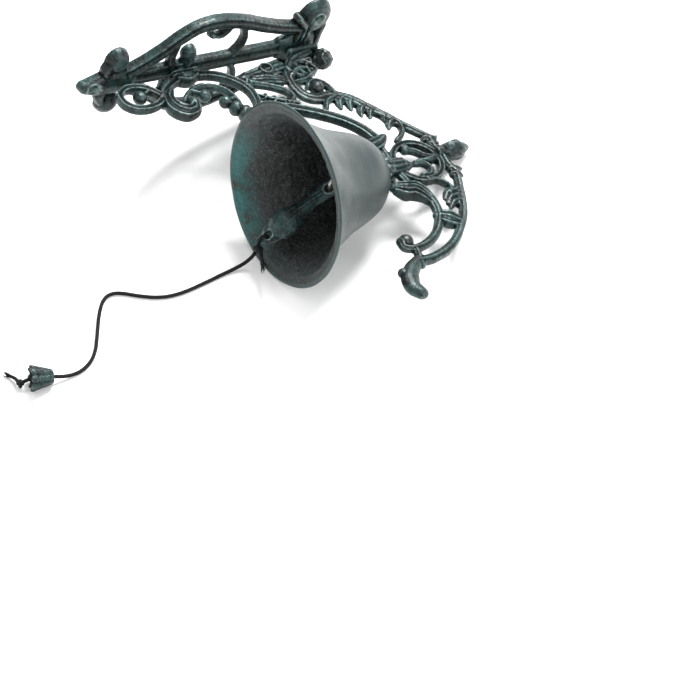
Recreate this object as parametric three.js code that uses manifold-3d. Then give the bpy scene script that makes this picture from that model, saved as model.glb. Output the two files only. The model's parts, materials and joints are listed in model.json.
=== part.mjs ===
// A wall mounted cast iron bell: a flat openwork wall plate, an openwork bracket screwed to it,
// a bell bolted under the bracket, and a clapper with a braided pull cord.
//
// Everything is drawn as the bell hangs on a wall, in millimetres: x leaves the wall, y runs
// along it and z is up, with the plate's back face at x = 0.  The whole casting is then laid
// down on a table, where it rests on the bell's rim, one top lobe of the plate and the finial.
// The slack cord and its pull are drawn in the table's frame from the start.

import * as THREE from 'three';
import { mergeVertices } from 'three/addons/utils/BufferGeometryUtils.js';
import Module from 'manifold-3d';

const wasm = await Module();
wasm.setup();

// ---------------------------------------------------------------- driving dimensions (mm)

const GAP = 0.3; // clearance kept between pieces that touch

const PLATE_THICKNESS = 8;
const RAIL_WIDTH = 9.5;
const LOBE_RADIUS = 18;
const LOBE_CENTRE = [21.5, -10.5];
const MOUNT_HOLE_RADIUS = 2.3;
const MOUNT_HOLES = [[-24.6, -11], [24.6, -11], [0, -186.5]];
const PLATE_SCREWS_Z = [-19.6, -118];
const SCREW_HOLE_RADIUS = 2.4;
const SCREW_SHANK_RADIUS = 2;
const SCREW_HEAD_RADIUS = 4;
const SCREW_HEAD_HEIGHT = 2.2;
const SCREW_LENGTH = 14.5;
const PHILLIPS_WIDTH = 0.9;

const ARM_DEPTH = 6.5; // across the bracket, along y
const LEAF_DEPTH = 9;
const ARM_START = PLATE_THICKNESS + GAP;

const BELL_X = 130.5;
const MOUTH_RADIUS = 62;
const MOUTH_Z = -112;
const CROWN_Z = -33.5;
const BELL_WALL = 3.6;

const RING_CENTRE_Z = -1.5;
const RING_RADIUS = 17.5;

const BOLT_RADIUS = 2.5;
const BOLT_HOLE_RADIUS = 2.9;
const BOLT_TOP_Z = -20;
const EYE_Z = -67.5;
const EYE_RADIUS = 6.5;
const EYE_WIRE = 1.6;

const CLAPPER_REST = THREE.MathUtils.degToRad(40);
const CLAPPER_TOP_HOLE = 7.4; // from the bolt's eye, down the clapper
const CLAPPER_LOW_HOLE = 58;
const CLAPPER_TIP = 63.5;
const CLAPPER_SHEET = 3.2;

const CORD_RADIUS = 1.3;
const TIE_LOOP_RADIUS = 3.4;
const TIE_KNOT = [1.8, 2, -68.6]; // in the clapper's own frame, hanging down from the eye
const TIE_KNOT_RADIUS = 4.2;

// The cord's route over the table, in the finished part's own frame: down from the tie knot in
// front of the bell's lip, then in one slack S along the table to the pull.
const CORD_ROUTE = [[11.1, -59.9, 13.3], [10.3, -61.7, 10.2], [9.2, -64.4, 7.1], [7.8, -68.7, 4.1],
  [6.4, -76, 2.1], [5.5, -85, 1.5], [5.2, -96, 1.5], [4.6, -106.5, 1.5], [3.4, -115, 1.5],
  [0.7, -123.2, 1.5], [-4, -130.8, 1.5], [-10.8, -138.4, 1.5], [-17.6, -145, 1.5], [-21.4, -150, 1.5],
  [-22.3, -155.2, 1.5], [-19.7, -160.2, 1.5], [-14.6, -164.8, 1.5], [-8.5, -169.2, 1.5],
  [-1.5, -173.6, 1.5], [5.6, -178, 1.5], [12.7, -182.7, 1.5], [18.7, -188.4, 1.5], [22.1, -194.2, 1.5],
  [23.5, -200, 1.5], [23.2, -206, 2], [22.2, -211, 3.2]];
const PULL_HEIGHT = 15.5;
const PULL_NARROW = 4.6;
const PULL_WIDE = 8.7;
const PULL_FLUTES = 8;
const PULL_FOOT = [15.8, -231.3]; // where the middle of the pull's wide end stands
const PULL_HEADING = THREE.MathUtils.degToRad(72.9); // from +x towards +y, wide end to narrow
const PULL_SOCKET = 2.4; // how high in the hollow pull the end knot's neck comes out
const END_KNOT = [12, -237, 4.2];
const END_KNOT_RADIUS = 3.2;
const CORD_TIP = [-2.8, -240.8, 1.5];

// ---------------------------------------------------------------- solids and booleans

function toSolid(geometry) {
  const bare = geometry.clone();
  bare.deleteAttribute('normal');
  bare.deleteAttribute('uv');
  const merged = mergeVertices(bare, 1e-4);
  return new wasm.Manifold(new wasm.Mesh({
    numProp: 3,
    vertProperties: new Float32Array(merged.attributes.position.array),
    triVerts: new Uint32Array(merged.index.array),
  }));
}

function toGeometry(solid) {
  const mesh = solid.getMesh();
  const geometry = new THREE.BufferGeometry();
  geometry.setAttribute('position', new THREE.BufferAttribute(mesh.vertProperties, 3));
  geometry.setIndex(new THREE.BufferAttribute(mesh.triVerts, 1));
  geometry.computeVertexNormals();
  return geometry;
}

function join(geometries) {
  return geometries.map(toSolid).reduce((sum, solid) => sum.add(solid));
}

function cut(solid, geometries) {
  return geometries.map(toSolid).reduce((rest, hole) => rest.subtract(hole), solid);
}

// ---------------------------------------------------------------- drawing helpers

// Turns a shape's plane into the bracket's plane (x, z), its depth centred on y = 0.
function inArmPlane(shape, depth) {
  const geometry = new THREE.ExtrudeGeometry(shape, { depth, bevelEnabled: false, curveSegments: 6 });
  geometry.translate(0, 0, -depth / 2);
  return geometry.rotateX(Math.PI / 2);
}

// Turns a shape's plane into the plate's plane (y, z), its depth running out of the wall.
function inPlatePlane(shape, from, to) {
  const geometry = new THREE.ExtrudeGeometry(
    shape, { depth: to - from, bevelEnabled: false, curveSegments: 8 });
  geometry.translate(0, 0, from);
  const turn = new THREE.Matrix4().makeBasis(
    new THREE.Vector3(0, 1, 0), new THREE.Vector3(0, 0, 1), new THREE.Vector3(1, 0, 0));
  return geometry.applyMatrix4(turn);
}

// The outline of a band of the given width along a smooth line through the points.
function bandShape(points, width, endWidth = width) {
  const curve = new THREE.SplineCurve(points.map(([a, b]) => new THREE.Vector2(a, b)));
  const steps = Math.max(3, Math.ceil(curve.getLength() / 5));
  const left = [];
  const right = [];
  for (let i = 0; i <= steps; i += 1) {
    const at = curve.getPointAt(i / steps);
    const along = curve.getTangentAt(i / steps);
    const half = THREE.MathUtils.lerp(width, endWidth, i / steps) / 2;
    const side = new THREE.Vector2(-along.y, along.x).multiplyScalar(half);
    left.push(at.clone().add(side));
    right.push(at.clone().sub(side));
  }
  const lastTip = curve.getPointAt(1).addScaledVector(curve.getTangentAt(1), endWidth / 3);
  const firstTip = curve.getPointAt(0).addScaledVector(curve.getTangentAt(0), -width / 3);
  return new THREE.Shape([...right, lastTip, ...left.reverse(), firstTip]);
}

function polygonShape(points) {
  return new THREE.Shape(points.map(([a, b]) => new THREE.Vector2(a, b)));
}

// A leaf: a closed smooth outline through a few points.
function leafShape(points) {
  const corners = points.map(([a, b]) => new THREE.Vector3(a, b, 0));
  const curve = new THREE.CatmullRomCurve3(corners, true, 'centripetal');
  const outline = curve.getPoints(points.length * 3);
  outline.pop();
  return new THREE.Shape(outline.map((p) => new THREE.Vector2(p.x, p.y)));
}

function ellipseShape(a, b, radiusA, radiusB = radiusA) {
  return new THREE.Shape().absellipse(a, b, radiusA, radiusB, 0, Math.PI * 2);
}

// A body turned about z; the profile is [radius, height] and runs upwards on the outside.
function turned(profile, segments) {
  const points = profile.map(([r, h]) => new THREE.Vector2(r, h));
  return new THREE.LatheGeometry(points, segments).rotateX(Math.PI / 2);
}

// A tube of eight sides along points given as [x, y, z].
function tube(points, radius, steps) {
  const section = new THREE.Shape();
  for (let i = 0; i < 8; i += 1) {
    const angle = (i * Math.PI) / 4;
    const corner = [radius * Math.cos(angle), radius * Math.sin(angle)];
    if (i === 0) section.moveTo(...corner);
    else section.lineTo(...corner);
  }
  const path = new THREE.CatmullRomCurve3(points.map((p) => new THREE.Vector3(...p)));
  return new THREE.ExtrudeGeometry(section, { steps, bevelEnabled: false, extrudePath: path });
}

function rod(radius, fromX, toX, y, z, sides = 16) {
  const geometry = new THREE.CylinderGeometry(radius, radius, toX - fromX, sides);
  geometry.rotateZ(Math.PI / 2);
  return geometry.translate((fromX + toX) / 2, y, z);
}

const mirrored = (points) => points.map(([a, b]) => [-a, b]);
const aboutBell = (points) => points.map(([a, b]) => [2 * BELL_X - a, b]);

// ---------------------------------------------------------------- finishes

const finishes = {
  iron: { color: 0x3f5552, roughness: 0.62, metalness: 0.55 },
  bell: { color: 0x7c8d89, roughness: 0.55, metalness: 0.5 },
  steel: { color: 0x8b8d8a, roughness: 0.4, metalness: 0.9 },
  cord: { color: 0x17181a, roughness: 0.9, metalness: 0 },
};

function piece(name, finish, geometry) {
  const mesh = new THREE.Mesh(geometry, new THREE.MeshStandardMaterial(finishes[finish]));
  mesh.name = name;
  return mesh;
}

// ---------------------------------------------------------------- wall plate (plane y, z)

const RAIL = [[17, -24], [21, -42], [27, -60], [32.5, -75], [36, -90], [36.7, -102], [34.5, -113],
  [28.5, -124], [20, -135], [13, -146], [6, -160]];
const UPPER_CROSS = [[4, -76], [11, -71], [19, -69.5], [28, -73]];
const RAIL_HOOK = [[34, -84], [28, -86.5], [24, -91], [25, -97]];
const LOWER_CROSS = [[3, -125.5], [14, -126.5], [26, -124.5]];
const FOOT_SCROLL = [[4, -176], [12, -177.5], [19.5, -172]];

function wallPlate() {
  const bands = [];
  for (const side of [(p) => p, mirrored]) {
    bands.push(bandShape(side(RAIL), RAIL_WIDTH));
    bands.push(bandShape(side(UPPER_CROSS), 5));
    bands.push(bandShape(side(RAIL_HOOK), 5, 3.5));
    bands.push(bandShape(side(LOWER_CROSS), 6));
    bands.push(bandShape(side(FOOT_SCROLL), 7));
    bands.push(bandShape(side([[0, -113.5], [12, -112.5]]), 9));
  }
  const middle = [
    polygonShape([[-22, -27], [22, -27], [24, -8], [12, 1.5], [0, 2.5], [-12, 1.5], [-24, -8]]),
    polygonShape([[-6.2, -162], [6.2, -162], [6.2, -22], [-6.2, -22]]),
    polygonShape([[-8.5, -170], [8.5, -170], [8.5, -156], [-8.5, -156]]),
    leafShape([[-7.5, -166], [7.5, -166], [8, -180], [7, -190], [0, -196.5], [-7, -190], [-8, -180]]),
  ];
  const pads = [];
  for (const side of [-1, 1]) {
    pads.push(ellipseShape(side * LOBE_CENTRE[0], LOBE_CENTRE[1], LOBE_RADIUS));
    pads.push(ellipseShape(side * 12.5, -112.5, 6));
    pads.push(ellipseShape(side * 19.5, -171, 7.5));
  }
  const flat = [...bands, ...middle, ...pads].map((s) => inPlatePlane(s, 0, PLATE_THICKNESS));

  const holes = MOUNT_HOLES.map(([y, z]) => rod(MOUNT_HOLE_RADIUS, -1, PLATE_THICKNESS + 1, y, z));
  for (const z of PLATE_SCREWS_Z) {
    holes.push(rod(SCREW_HOLE_RADIUS, -1, PLATE_THICKNESS + 1, 0, z));
    holes.push(rod(SCREW_HEAD_RADIUS + GAP, -1, SCREW_HEAD_HEIGHT + 2 * GAP, 0, z, 20));
  }
  return piece('wall_plate', 'iron', toGeometry(cut(join(flat), holes)));
}

function plateScrew(name, z) {
  const profile = [[0, GAP], [SCREW_HEAD_RADIUS, GAP], [SCREW_HEAD_RADIUS, 0.8 + GAP],
    [SCREW_SHANK_RADIUS, SCREW_HEAD_HEIGHT + GAP], [SCREW_SHANK_RADIUS, SCREW_LENGTH], [0, SCREW_LENGTH]];
  const body = turned(profile, 20).rotateY(Math.PI / 2);
  const slots = [];
  for (const turn of [0, Math.PI / 2]) {
    const slot = new THREE.BoxGeometry(2.4, PHILLIPS_WIDTH, SCREW_HEAD_RADIUS * 1.2);
    slots.push(slot.rotateX(turn + Math.PI / 8));
  }
  const screw = piece(name, 'steel', toGeometry(cut(toSolid(body), slots)));
  screw.position.z = z;
  return screw;
}

// ---------------------------------------------------------------- bracket (plane x, z)

const LEFT_CREST = [[115, 21.5], [103.5, 13.5], [94.5, 7.5], [83.5, 1], [72.5, -8.5], [64.5, -17.5],
  [59, -27.5], [56, -38], [49.5, -46], [40.5, -48], [30.5, -44], [22, -35.5], [16, -25], [14, -16]];
const LEFT_VOLUTE = [[58.5, -29], [55, -23.5], [47.5, -22], [41.5, -27.5], [43, -34.5]];
const LEFT_ARCH = [[108, -18], [99.5, -19], [91.5, -22], [82.5, -28.5], [73.5, -38.5], [65.5, -50.5],
  [59.5, -61.5], [56, -72], [55, -84], [57, -95]];
const LOWER_SWEEP = [[55, -84], [46, -81], [36.5, -80.5], [27.5, -84.5], [19.5, -92.5], [14.5, -103],
  [13.5, -115], [15, -127], [20.5, -137.5], [28.5, -144]];
const INNER_SWEEP = [[54, -96.5], [43, -95], [33, -97], [26, -104.5], [24.5, -114.5], [27.5, -124],
  [33, -131]];
const EYE_STEM = [[20, -46], [23, -60], [25, -79]];
const MIDDLE_ARCH = [[25, -80], [30, -75.5], [37, -63], [43.5, -55], [50.5, -53], [56, -60]];
const FOOT_RING = [[28.5, -143.5], [34.5, -150.5], [36.5, -160], [33.5, -169.5], [26.5, -174.5],
  [18.5, -173.5], [13.5, -167], [13.5, -158], [18, -150.5], [26, -145.5]];
const SHOULDER = [[113, 21], [122, 19.5], [130.5, 20.5], [139, 19.5], [148, 21]];
const RIGHT_CREST = [[146, 21.5], [160.5, 14.5], [172.5, 8], [183.5, 1], [193.5, -8], [202.5, -19],
  [209.5, -31.5], [212.5, -44.5], [213, -55], [217.5, -64], [226, -70.5]];
const RIGHT_SCROLL = [[153, -18], [160.5, -14.5], [168.5, -12.5], [178, -14.5], [187.5, -21],
  [195.5, -30.5], [200.5, -42], [201, -51], [197, -58], [190, -57.5]];
const SMALL_SCROLL = [[147.5, -4], [150.5, 4], [157.5, 8], [163.5, 4]];
const RING_VOLUTE = [[130.5, -9], [124, -7], [118.5, -1.5], [120, 5.5], [125.5, 5]];
const RING_STEM = [[130.5, 17], [130.5, 8], [124.5, 11.5], [119.5, 9.5]];
const TOOTH_COUNT = 8;
const TOOTH_LENGTH = 10;

// The hooked acanthus teeth that hang inside a crest.
function teeth(crest, lean, from, to) {
  const curve = new THREE.SplineCurve(crest.map(([a, b]) => new THREE.Vector2(a, b)));
  const shapes = [];
  for (let i = 0; i < TOOTH_COUNT; i += 1) {
    const at = curve.getPointAt(THREE.MathUtils.lerp(from, to, i / (TOOTH_COUNT - 1)));
    const tip = [at.x + lean * TOOTH_LENGTH * 0.55, at.y - TOOTH_LENGTH * 0.85];
    const bend = [at.x + lean * TOOTH_LENGTH * 0.05, at.y - TOOTH_LENGTH * 0.5];
    shapes.push(bandShape([[at.x, at.y], bend, tip], 5, 1.6));
  }
  return shapes;
}

function bracketBars() {
  const bars = [
    bandShape(LEFT_CREST, 5.5), bandShape(LEFT_VOLUTE, 4), bandShape(LEFT_ARCH, 7, 6),
    bandShape(LOWER_SWEEP, 5.5), bandShape(INNER_SWEEP, 4), bandShape(EYE_STEM, 9, 6),
    bandShape(MIDDLE_ARCH, 5, 4), bandShape(FOOT_RING, 4.5), bandShape(SHOULDER, 6.5),
    bandShape(RIGHT_CREST, 6, 7), bandShape(RIGHT_SCROLL, 6.5, 5), bandShape(SMALL_SCROLL, 3.5),
    bandShape([[201, -51], [207, -53], [213, -55]], 5),
    bandShape([[32.5, -114.5], [27, -122]], 3.5),
    bandShape([[41, -97], [45, -104], [52, -103.5], [58, -104]], 5),
    bandShape([[23.5, -160.5], [19, -151]], 3.5),
    bandShape([[106, -20], [118, -20], [130.5, -21], [143, -20], [155, -20]], 6),
  ];
  for (const side of [(p) => p, aboutBell]) {
    bars.push(bandShape(side(RING_VOLUTE), 3.6));
    bars.push(bandShape(side(RING_STEM), 3.6));
  }
  bars.push(...teeth(LEFT_CREST, 1, 0.1, 0.48));
  return bars;
}

function bracketLeaves() {
  const leaves = [
    ellipseShape(22.5, -11.5, 9.5), // rosette in front of the plate's top
    leafShape([[16, -20], [28, -18], [35, -28], [42, -42], [32, -42], [22, -36]]),
    ellipseShape(22, -58.5, 5.8),
    leafShape([[26, -133], [33, -126], [43, -125.5], [50, -132.5], [49.5, -141], [42, -147], [31, -146]]),
    ellipseShape(45, -105, 5), ellipseShape(53, -97.5, 6), ellipseShape(58, -104, 5.5),
    ellipseShape(47.5, -29.5, 5), ellipseShape(32.5, -114.5, 5), ellipseShape(23.5, -160.5, 5),
    ellipseShape(13.9, -118, 5.5, 9), // pad over the lower screw
    ellipseShape(BELL_X, -14.5, 7.5, 8),
    ellipseShape(187.5, -12, 6), ellipseShape(190.5, -53.5, 6), ellipseShape(218.5, -76, 4),
    leafShape([[214, -63], [219, -74], [228, -79.5], [237, -77], [239.5, -70], [233, -66], [224, -66]]),
    polygonShape([[111, 19], [112.5, 28.5], [118, 25.5], [122, 19]]),
    polygonShape([[139, 19], [145, 27.5], [150, 24], [151, 18]]),
  ];
  for (const side of [-1, 1]) {
    leaves.push(ellipseShape(BELL_X + side * 21, -23, 8, 10)); // the buds over the bell's shoulders
  }
  return leaves;
}

function bracketPad(fromZ, toZ, reach, depth) {
  const corners = [[ARM_START, fromZ], [reach, fromZ], [reach, toZ], [ARM_START, toZ]];
  return inArmPlane(polygonShape(corners), depth);
}

function finial() {
  const profile = [[0, 18], [5.5, 18], [5, 23], [7.5, 27], [8.6, 32], [8, 38], [5.5, 43.5], [2.5, 47],
    [0, 48.5]];
  return turned(profile, 16).translate(BELL_X, 0, 0);
}

function bellBoss() {
  const profile = [[0, CROWN_Z + GAP], [12, CROWN_Z + GAP], [10, -28], [7, -22], [6, -14], [0, -14]];
  return turned(profile, 24).translate(BELL_X, 0, 0);
}

function bracket() {
  const ringShape = ellipseShape(BELL_X, RING_CENTRE_Z, RING_RADIUS + 2.2);
  ringShape.holes.push(new THREE.Path().absellipse(
    BELL_X, RING_CENTRE_Z, RING_RADIUS - 2.2, RING_RADIUS - 2.2, 0, Math.PI * 2));
  const solids = [
    ...bracketBars().map((shape) => inArmPlane(shape, ARM_DEPTH)),
    ...bracketLeaves().map((shape) => inArmPlane(shape, LEAF_DEPTH)),
    inArmPlane(ringShape, ARM_DEPTH),
    bracketPad(-31, -9, 20, 11),
    bracketPad(-127, -109, 16, 11),
    finial(),
    bellBoss(),
  ];
  const screwHoles = PLATE_SCREWS_Z.map(
    (z) => rod(SCREW_HOLE_RADIUS, ARM_START - 1, SCREW_LENGTH + 1, 0, z));
  const boltHole = turned([[0, CROWN_Z - 1], [BOLT_HOLE_RADIUS, CROWN_Z - 1],
    [BOLT_HOLE_RADIUS, BOLT_TOP_Z + 1], [0, BOLT_TOP_Z + 1]], 20).translate(BELL_X, 0, 0);
  return piece('bracket_arm', 'iron', toGeometry(cut(join(solids), [...screwHoles, boltHole])));
}

// ---------------------------------------------------------------- bell and its bolt

const BELL_OUTSIDE = [[12, CROWN_Z], [17, -37.4], [22.3, -41.8], [26.6, -46.8], [29.8, -53], [32.9, -62],
  [36.7, -74], [42, -86], [48.3, -97], [55, -105.5], [60.3, -110.3], [MOUTH_RADIUS, MOUTH_Z]];

function bellShell() {
  const outside = new THREE.CatmullRomCurve3(BELL_OUTSIDE.map(([r, h]) => new THREE.Vector3(r, h, 0)));
  const count = 14;
  const outer = [];
  const inner = [];
  for (let i = 0; i <= count; i += 1) {
    const at = outside.getPointAt(i / count);
    const along = outside.getTangentAt(i / count);
    outer.push([at.x, at.y]);
    inner.push([at.x + along.y * BELL_WALL, at.y - along.x * BELL_WALL]);
  }
  inner[count] = [MOUTH_RADIUS - BELL_WALL, MOUTH_Z];
  inner[0] = [11, CROWN_Z - BELL_WALL];
  const profile = [[BOLT_HOLE_RADIUS, CROWN_Z - BELL_WALL], ...inner, ...outer.reverse(),
    [BOLT_HOLE_RADIUS, CROWN_Z], [BOLT_HOLE_RADIUS, CROWN_Z - BELL_WALL]];
  return piece('bell_shell', 'bell', turned(profile, 48).translate(BELL_X, 0, 0));
}

function eyeBolt() {
  const shank = turned([[0, EYE_Z + EYE_RADIUS], [BOLT_RADIUS, EYE_Z + EYE_RADIUS],
    [BOLT_RADIUS, BOLT_TOP_Z], [0, BOLT_TOP_Z]], 16);
  const eye = new THREE.TorusGeometry(EYE_RADIUS, EYE_WIRE, 10, 28);
  eye.rotateY(Math.PI / 2).translate(0, 0, EYE_Z);
  return piece('eye_bolt', 'steel', toGeometry(join([shank, eye])).translate(BELL_X, 0, 0));
}

function ringAroundBolt(name, radius, top, height, sides) {
  const bottom = top - height;
  const profile = [[BOLT_HOLE_RADIUS, bottom], [radius, bottom], [radius, top], [BOLT_HOLE_RADIUS, top],
    [BOLT_HOLE_RADIUS, bottom]];
  return piece(name, 'steel', turned(profile, sides).translate(BELL_X, 0, 0));
}

// ---------------------------------------------------------------- clapper (hangs along -z)

const CLAPPER_OUTLINE = [[0, -0.9], [6.3, -4.5], [6.4, -10], [4.6, -17], [4.6, -25], [8, -38], [8, -50],
  [5.5, -60], [0, -CLAPPER_TIP], [-5.5, -60], [-8, -50], [-8, -38], [-4.6, -25], [-4.6, -17],
  [-6.4, -10], [-6.3, -4.5]];

function clapper() {
  const sheet = inArmPlane(leafShape(CLAPPER_OUTLINE), CLAPPER_SHEET);
  const belly = new THREE.SphereGeometry(1, 20, 14).scale(9.8, 5.2, 18.5).translate(0, 0, -42);
  const holes = [[CLAPPER_TOP_HOLE, 3.6], [CLAPPER_LOW_HOLE, 3.2]].map(([down, radius]) => {
    const hole = new THREE.CylinderGeometry(radius, radius, 20, 18);
    return hole.translate(0, 0, -down);
  });
  return piece('clapper', 'iron', toGeometry(cut(join([sheet, belly]), holes)));
}

// The cord's loop through the clapper's lower hole, drawn up into a knot under the tip.
function tieKnot() {
  const loop = new THREE.TorusGeometry(TIE_LOOP_RADIUS, CORD_RADIUS - 0.1, 8, 20);
  loop.rotateY(Math.PI / 2).translate(0, 0, -CLAPPER_TIP + 1.2);
  const knot = new THREE.SphereGeometry(TIE_KNOT_RADIUS, 12, 9).scale(1.1, 1, 0.95);
  return piece('tie_knot', 'cord', toGeometry(join([loop, knot.translate(...TIE_KNOT)])));
}

function tieTail(name, end, lift) {
  const [x, y, z] = TIE_KNOT;
  const start = [x + TIE_KNOT_RADIUS * 1.1 + GAP + 0.2, y + lift, z];
  const middle = [(start[0] + end[0]) / 2, (start[1] + end[1]) / 2 + 1.2, (start[2] + end[2]) / 2 - 0.5];
  return piece(name, 'cord', tube([start, middle, end], CORD_RADIUS, 5));
}

function clapperGroup() {
  const group = new THREE.Group();
  group.position.set(BELL_X, 0, EYE_Z);
  group.rotation.x = CLAPPER_REST;
  group.add(clapper(), tieKnot());
  group.add(tieTail('tie_tail_long', [21, -4.5, -73], -1.4));
  group.add(tieTail('tie_tail_short', [17.5, 1.5, -75], 1.7));
  return group;
}

// ---------------------------------------------------------------- cord and pull (table's frame)

// The pull stands along z with its narrow end up, then is laid on its side on the table.
function cordPull() {
  const profile = [[0, 4], [4.4, 3.2], [6.4, 0.6], [7.7, 0], [PULL_WIDE, 0.9], [8.1, 4], [6.7, 9],
    [5.4, 13], [PULL_NARROW, 14.9], [3.6, PULL_HEIGHT], [0, PULL_HEIGHT]];
  const geometry = turned(profile, PULL_FLUTES * 5);
  const places = geometry.attributes.position;
  for (let i = 0; i < places.count; i += 1) {
    const angle = Math.atan2(places.getY(i), places.getX(i));
    const flute = 1 - 0.09 * (0.5 - 0.5 * Math.cos(PULL_FLUTES * angle));
    places.setXY(i, places.getX(i) * flute, places.getY(i) * flute);
  }
  const mesh = piece('cord_pull', 'iron', toGeometry(toSolid(geometry)));
  const lean = Math.atan2(PULL_WIDE - PULL_NARROW, PULL_HEIGHT);
  mesh.position.set(...PULL_FOOT, 0);
  mesh.rotation.set(0, Math.PI / 2 + lean, PULL_HEADING, 'ZYX');
  mesh.position.z = GAP - new THREE.Box3().setFromObject(mesh, true).min.z;
  return mesh;
}

function endKnot(pull) {
  pull.updateMatrixWorld();
  const neckTop = new THREE.Vector3(0, 0, PULL_SOCKET).applyMatrix4(pull.matrixWorld).toArray();
  const middle = neckTop.map((value, i) => (value + END_KNOT[i]) / 2);
  middle[2] += 0.8;
  const knot = new THREE.SphereGeometry(END_KNOT_RADIUS, 12, 9).translate(...END_KNOT);
  const neck = tube([neckTop, middle, END_KNOT], CORD_RADIUS, 4);
  return piece('end_knot', 'cord', toGeometry(join([neck, knot])));
}

function cordTip() {
  const toTip = new THREE.Vector3(...CORD_TIP).sub(new THREE.Vector3(...END_KNOT));
  const start = toTip.clone().setLength(END_KNOT_RADIUS + GAP).add(new THREE.Vector3(...END_KNOT));
  const middle = [(start.x + CORD_TIP[0]) / 2, (start.y + CORD_TIP[1]) / 2 + 0.6, 2];
  return piece('cord_tip', 'cord', tube([start.toArray(), middle, CORD_TIP], CORD_RADIUS, 4));
}

function pullCord(pull) {
  pull.updateMatrixWorld();
  const socket = new THREE.Vector3(0, 0, PULL_HEIGHT + GAP).applyMatrix4(pull.matrixWorld);
  return piece('pull_cord', 'cord', tube([...CORD_ROUTE, socket.toArray()], CORD_RADIUS, 44));
}

// ---------------------------------------------------------------- laying the casting on the table

// The upward direction of a table that touches each of the three meshes on its +y side.
function settle(meshes) {
  const down = new THREE.Vector3(0, 1, 0);
  const vertex = new THREE.Vector3();
  let supports = [];
  for (let round = 0; round < 12; round += 1) {
    supports = meshes.map((mesh) => {
      const best = { depth: -Infinity, at: new THREE.Vector3() };
      const places = mesh.geometry.attributes.position;
      for (let i = 0; i < places.count; i += 1) {
        vertex.fromBufferAttribute(places, i);
        if (vertex.dot(down) > best.depth) {
          best.depth = vertex.dot(down);
          best.at.copy(vertex);
        }
      }
      return best.at;
    });
    const along = supports[1].clone().sub(supports[0]);
    const across = supports[2].clone().sub(supports[0]);
    down.crossVectors(along, across).normalize();
    if (down.y < 0) down.negate();
  }
  return down.negate();
}

function layDown(group, up) {
  const xAxis = new THREE.Vector3(1, 0, 0).addScaledVector(up, -up.x).normalize();
  const yAxis = new THREE.Vector3().crossVectors(up, xAxis);
  const turn = new THREE.Matrix4().makeBasis(xAxis, yAxis, up).transpose();
  group.quaternion.setFromRotationMatrix(turn);
  group.updateMatrixWorld(true);
  const box = new THREE.Box3().setFromObject(group, true);
  group.position.set(-(box.min.x + box.max.x) / 2, -(box.min.y + box.max.y) / 2, -box.min.z);
  return group;
}

// ---------------------------------------------------------------- assembly

const plate = wallPlate();
const arm = bracket();
const shell = bellShell();

const casting = new THREE.Group();
casting.add(plate, arm, shell);
casting.add(plateScrew('upper_plate_screw', PLATE_SCREWS_Z[0]));
casting.add(plateScrew('lower_plate_screw', PLATE_SCREWS_Z[1]));
casting.add(eyeBolt());
casting.add(ringAroundBolt('crown_washer', 7.5, CROWN_Z - BELL_WALL - GAP, 1.2, 24));
casting.add(ringAroundBolt('crown_nut', 4.9, CROWN_Z - BELL_WALL - 2 * GAP - 1.2, 4, 6));
casting.add(clapperGroup());
layDown(casting, settle([shell, plate, arm]));

const pull = cordPull();
const wallBell = new THREE.Group();
wallBell.add(casting, pullCord(pull), pull, endKnot(pull), cordTip());

export default wallBell;
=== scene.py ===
"""A wall mounted cast iron bell, lying on a table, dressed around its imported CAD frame.

The casting's pieces are drawn as the bell hangs on a wall, in millimetres: x leaves the wall,
y runs along it and z is up.  One matrix, found from the record's mounts, lays them down on the
table.  The cord and its pull are drawn in the table's frame.
"""
import json
import math

import bmesh
import bpy
import numpy as np
from mathutils import Matrix, Vector, noise


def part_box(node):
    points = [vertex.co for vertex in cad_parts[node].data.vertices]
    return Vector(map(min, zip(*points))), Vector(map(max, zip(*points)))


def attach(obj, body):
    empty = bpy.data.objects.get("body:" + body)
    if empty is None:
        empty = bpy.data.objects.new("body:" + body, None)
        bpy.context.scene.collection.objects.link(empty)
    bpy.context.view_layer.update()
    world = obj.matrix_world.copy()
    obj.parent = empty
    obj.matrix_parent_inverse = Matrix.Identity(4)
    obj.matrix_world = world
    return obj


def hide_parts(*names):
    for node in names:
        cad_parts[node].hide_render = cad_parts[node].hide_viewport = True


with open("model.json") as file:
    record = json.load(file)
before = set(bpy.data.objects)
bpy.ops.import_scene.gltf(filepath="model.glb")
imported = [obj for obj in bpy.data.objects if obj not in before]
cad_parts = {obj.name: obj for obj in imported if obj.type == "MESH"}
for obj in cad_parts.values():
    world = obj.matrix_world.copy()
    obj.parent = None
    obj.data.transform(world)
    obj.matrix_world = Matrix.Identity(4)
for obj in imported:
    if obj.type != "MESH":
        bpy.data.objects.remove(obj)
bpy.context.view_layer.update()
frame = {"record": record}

MM = 0.001
IRON, BELL, STEEL, CORD = "iron", "bell", "steel", "cord"

# ---------------- sizes, as in the CAD (mm)

PLATE_THICKNESS = 8
PLATE_SCREWS_Z = (-19.6, -118)
SCREW_HEAD_RADIUS = 4.0
SCREW_HEAD_HEIGHT = 2.2
SCREW_SHANK_RADIUS = 2.0
SCREW_LENGTH = 14.5
MOUNT_HOLES = ((-24.6, -11), (24.6, -11), (0, -186.5))
MOUNT_HOLE_RADIUS = 2.3
WALL_FACE_AT = (0, 0, -8)

ARM_DEPTH = 6.5
BELL_X = 130.5
RING_CENTRE_Z = -1.5
RING_RADIUS = 17.5

MOUTH_RADIUS = 62
MOUTH_Z = -112
CROWN_Z = -33.5
BELL_WALL = 3.6
BOLT_RADIUS = 2.5
BOLT_TOP_Z = -20
EYE_Z = -67.5
EYE_RADIUS = 6.5
EYE_WIRE = 1.6

CLAPPER_REST = math.radians(40)
CLAPPER_TOP_HOLE = 7.4
CLAPPER_LOW_HOLE = 58
CLAPPER_TIP = 63.5

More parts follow.
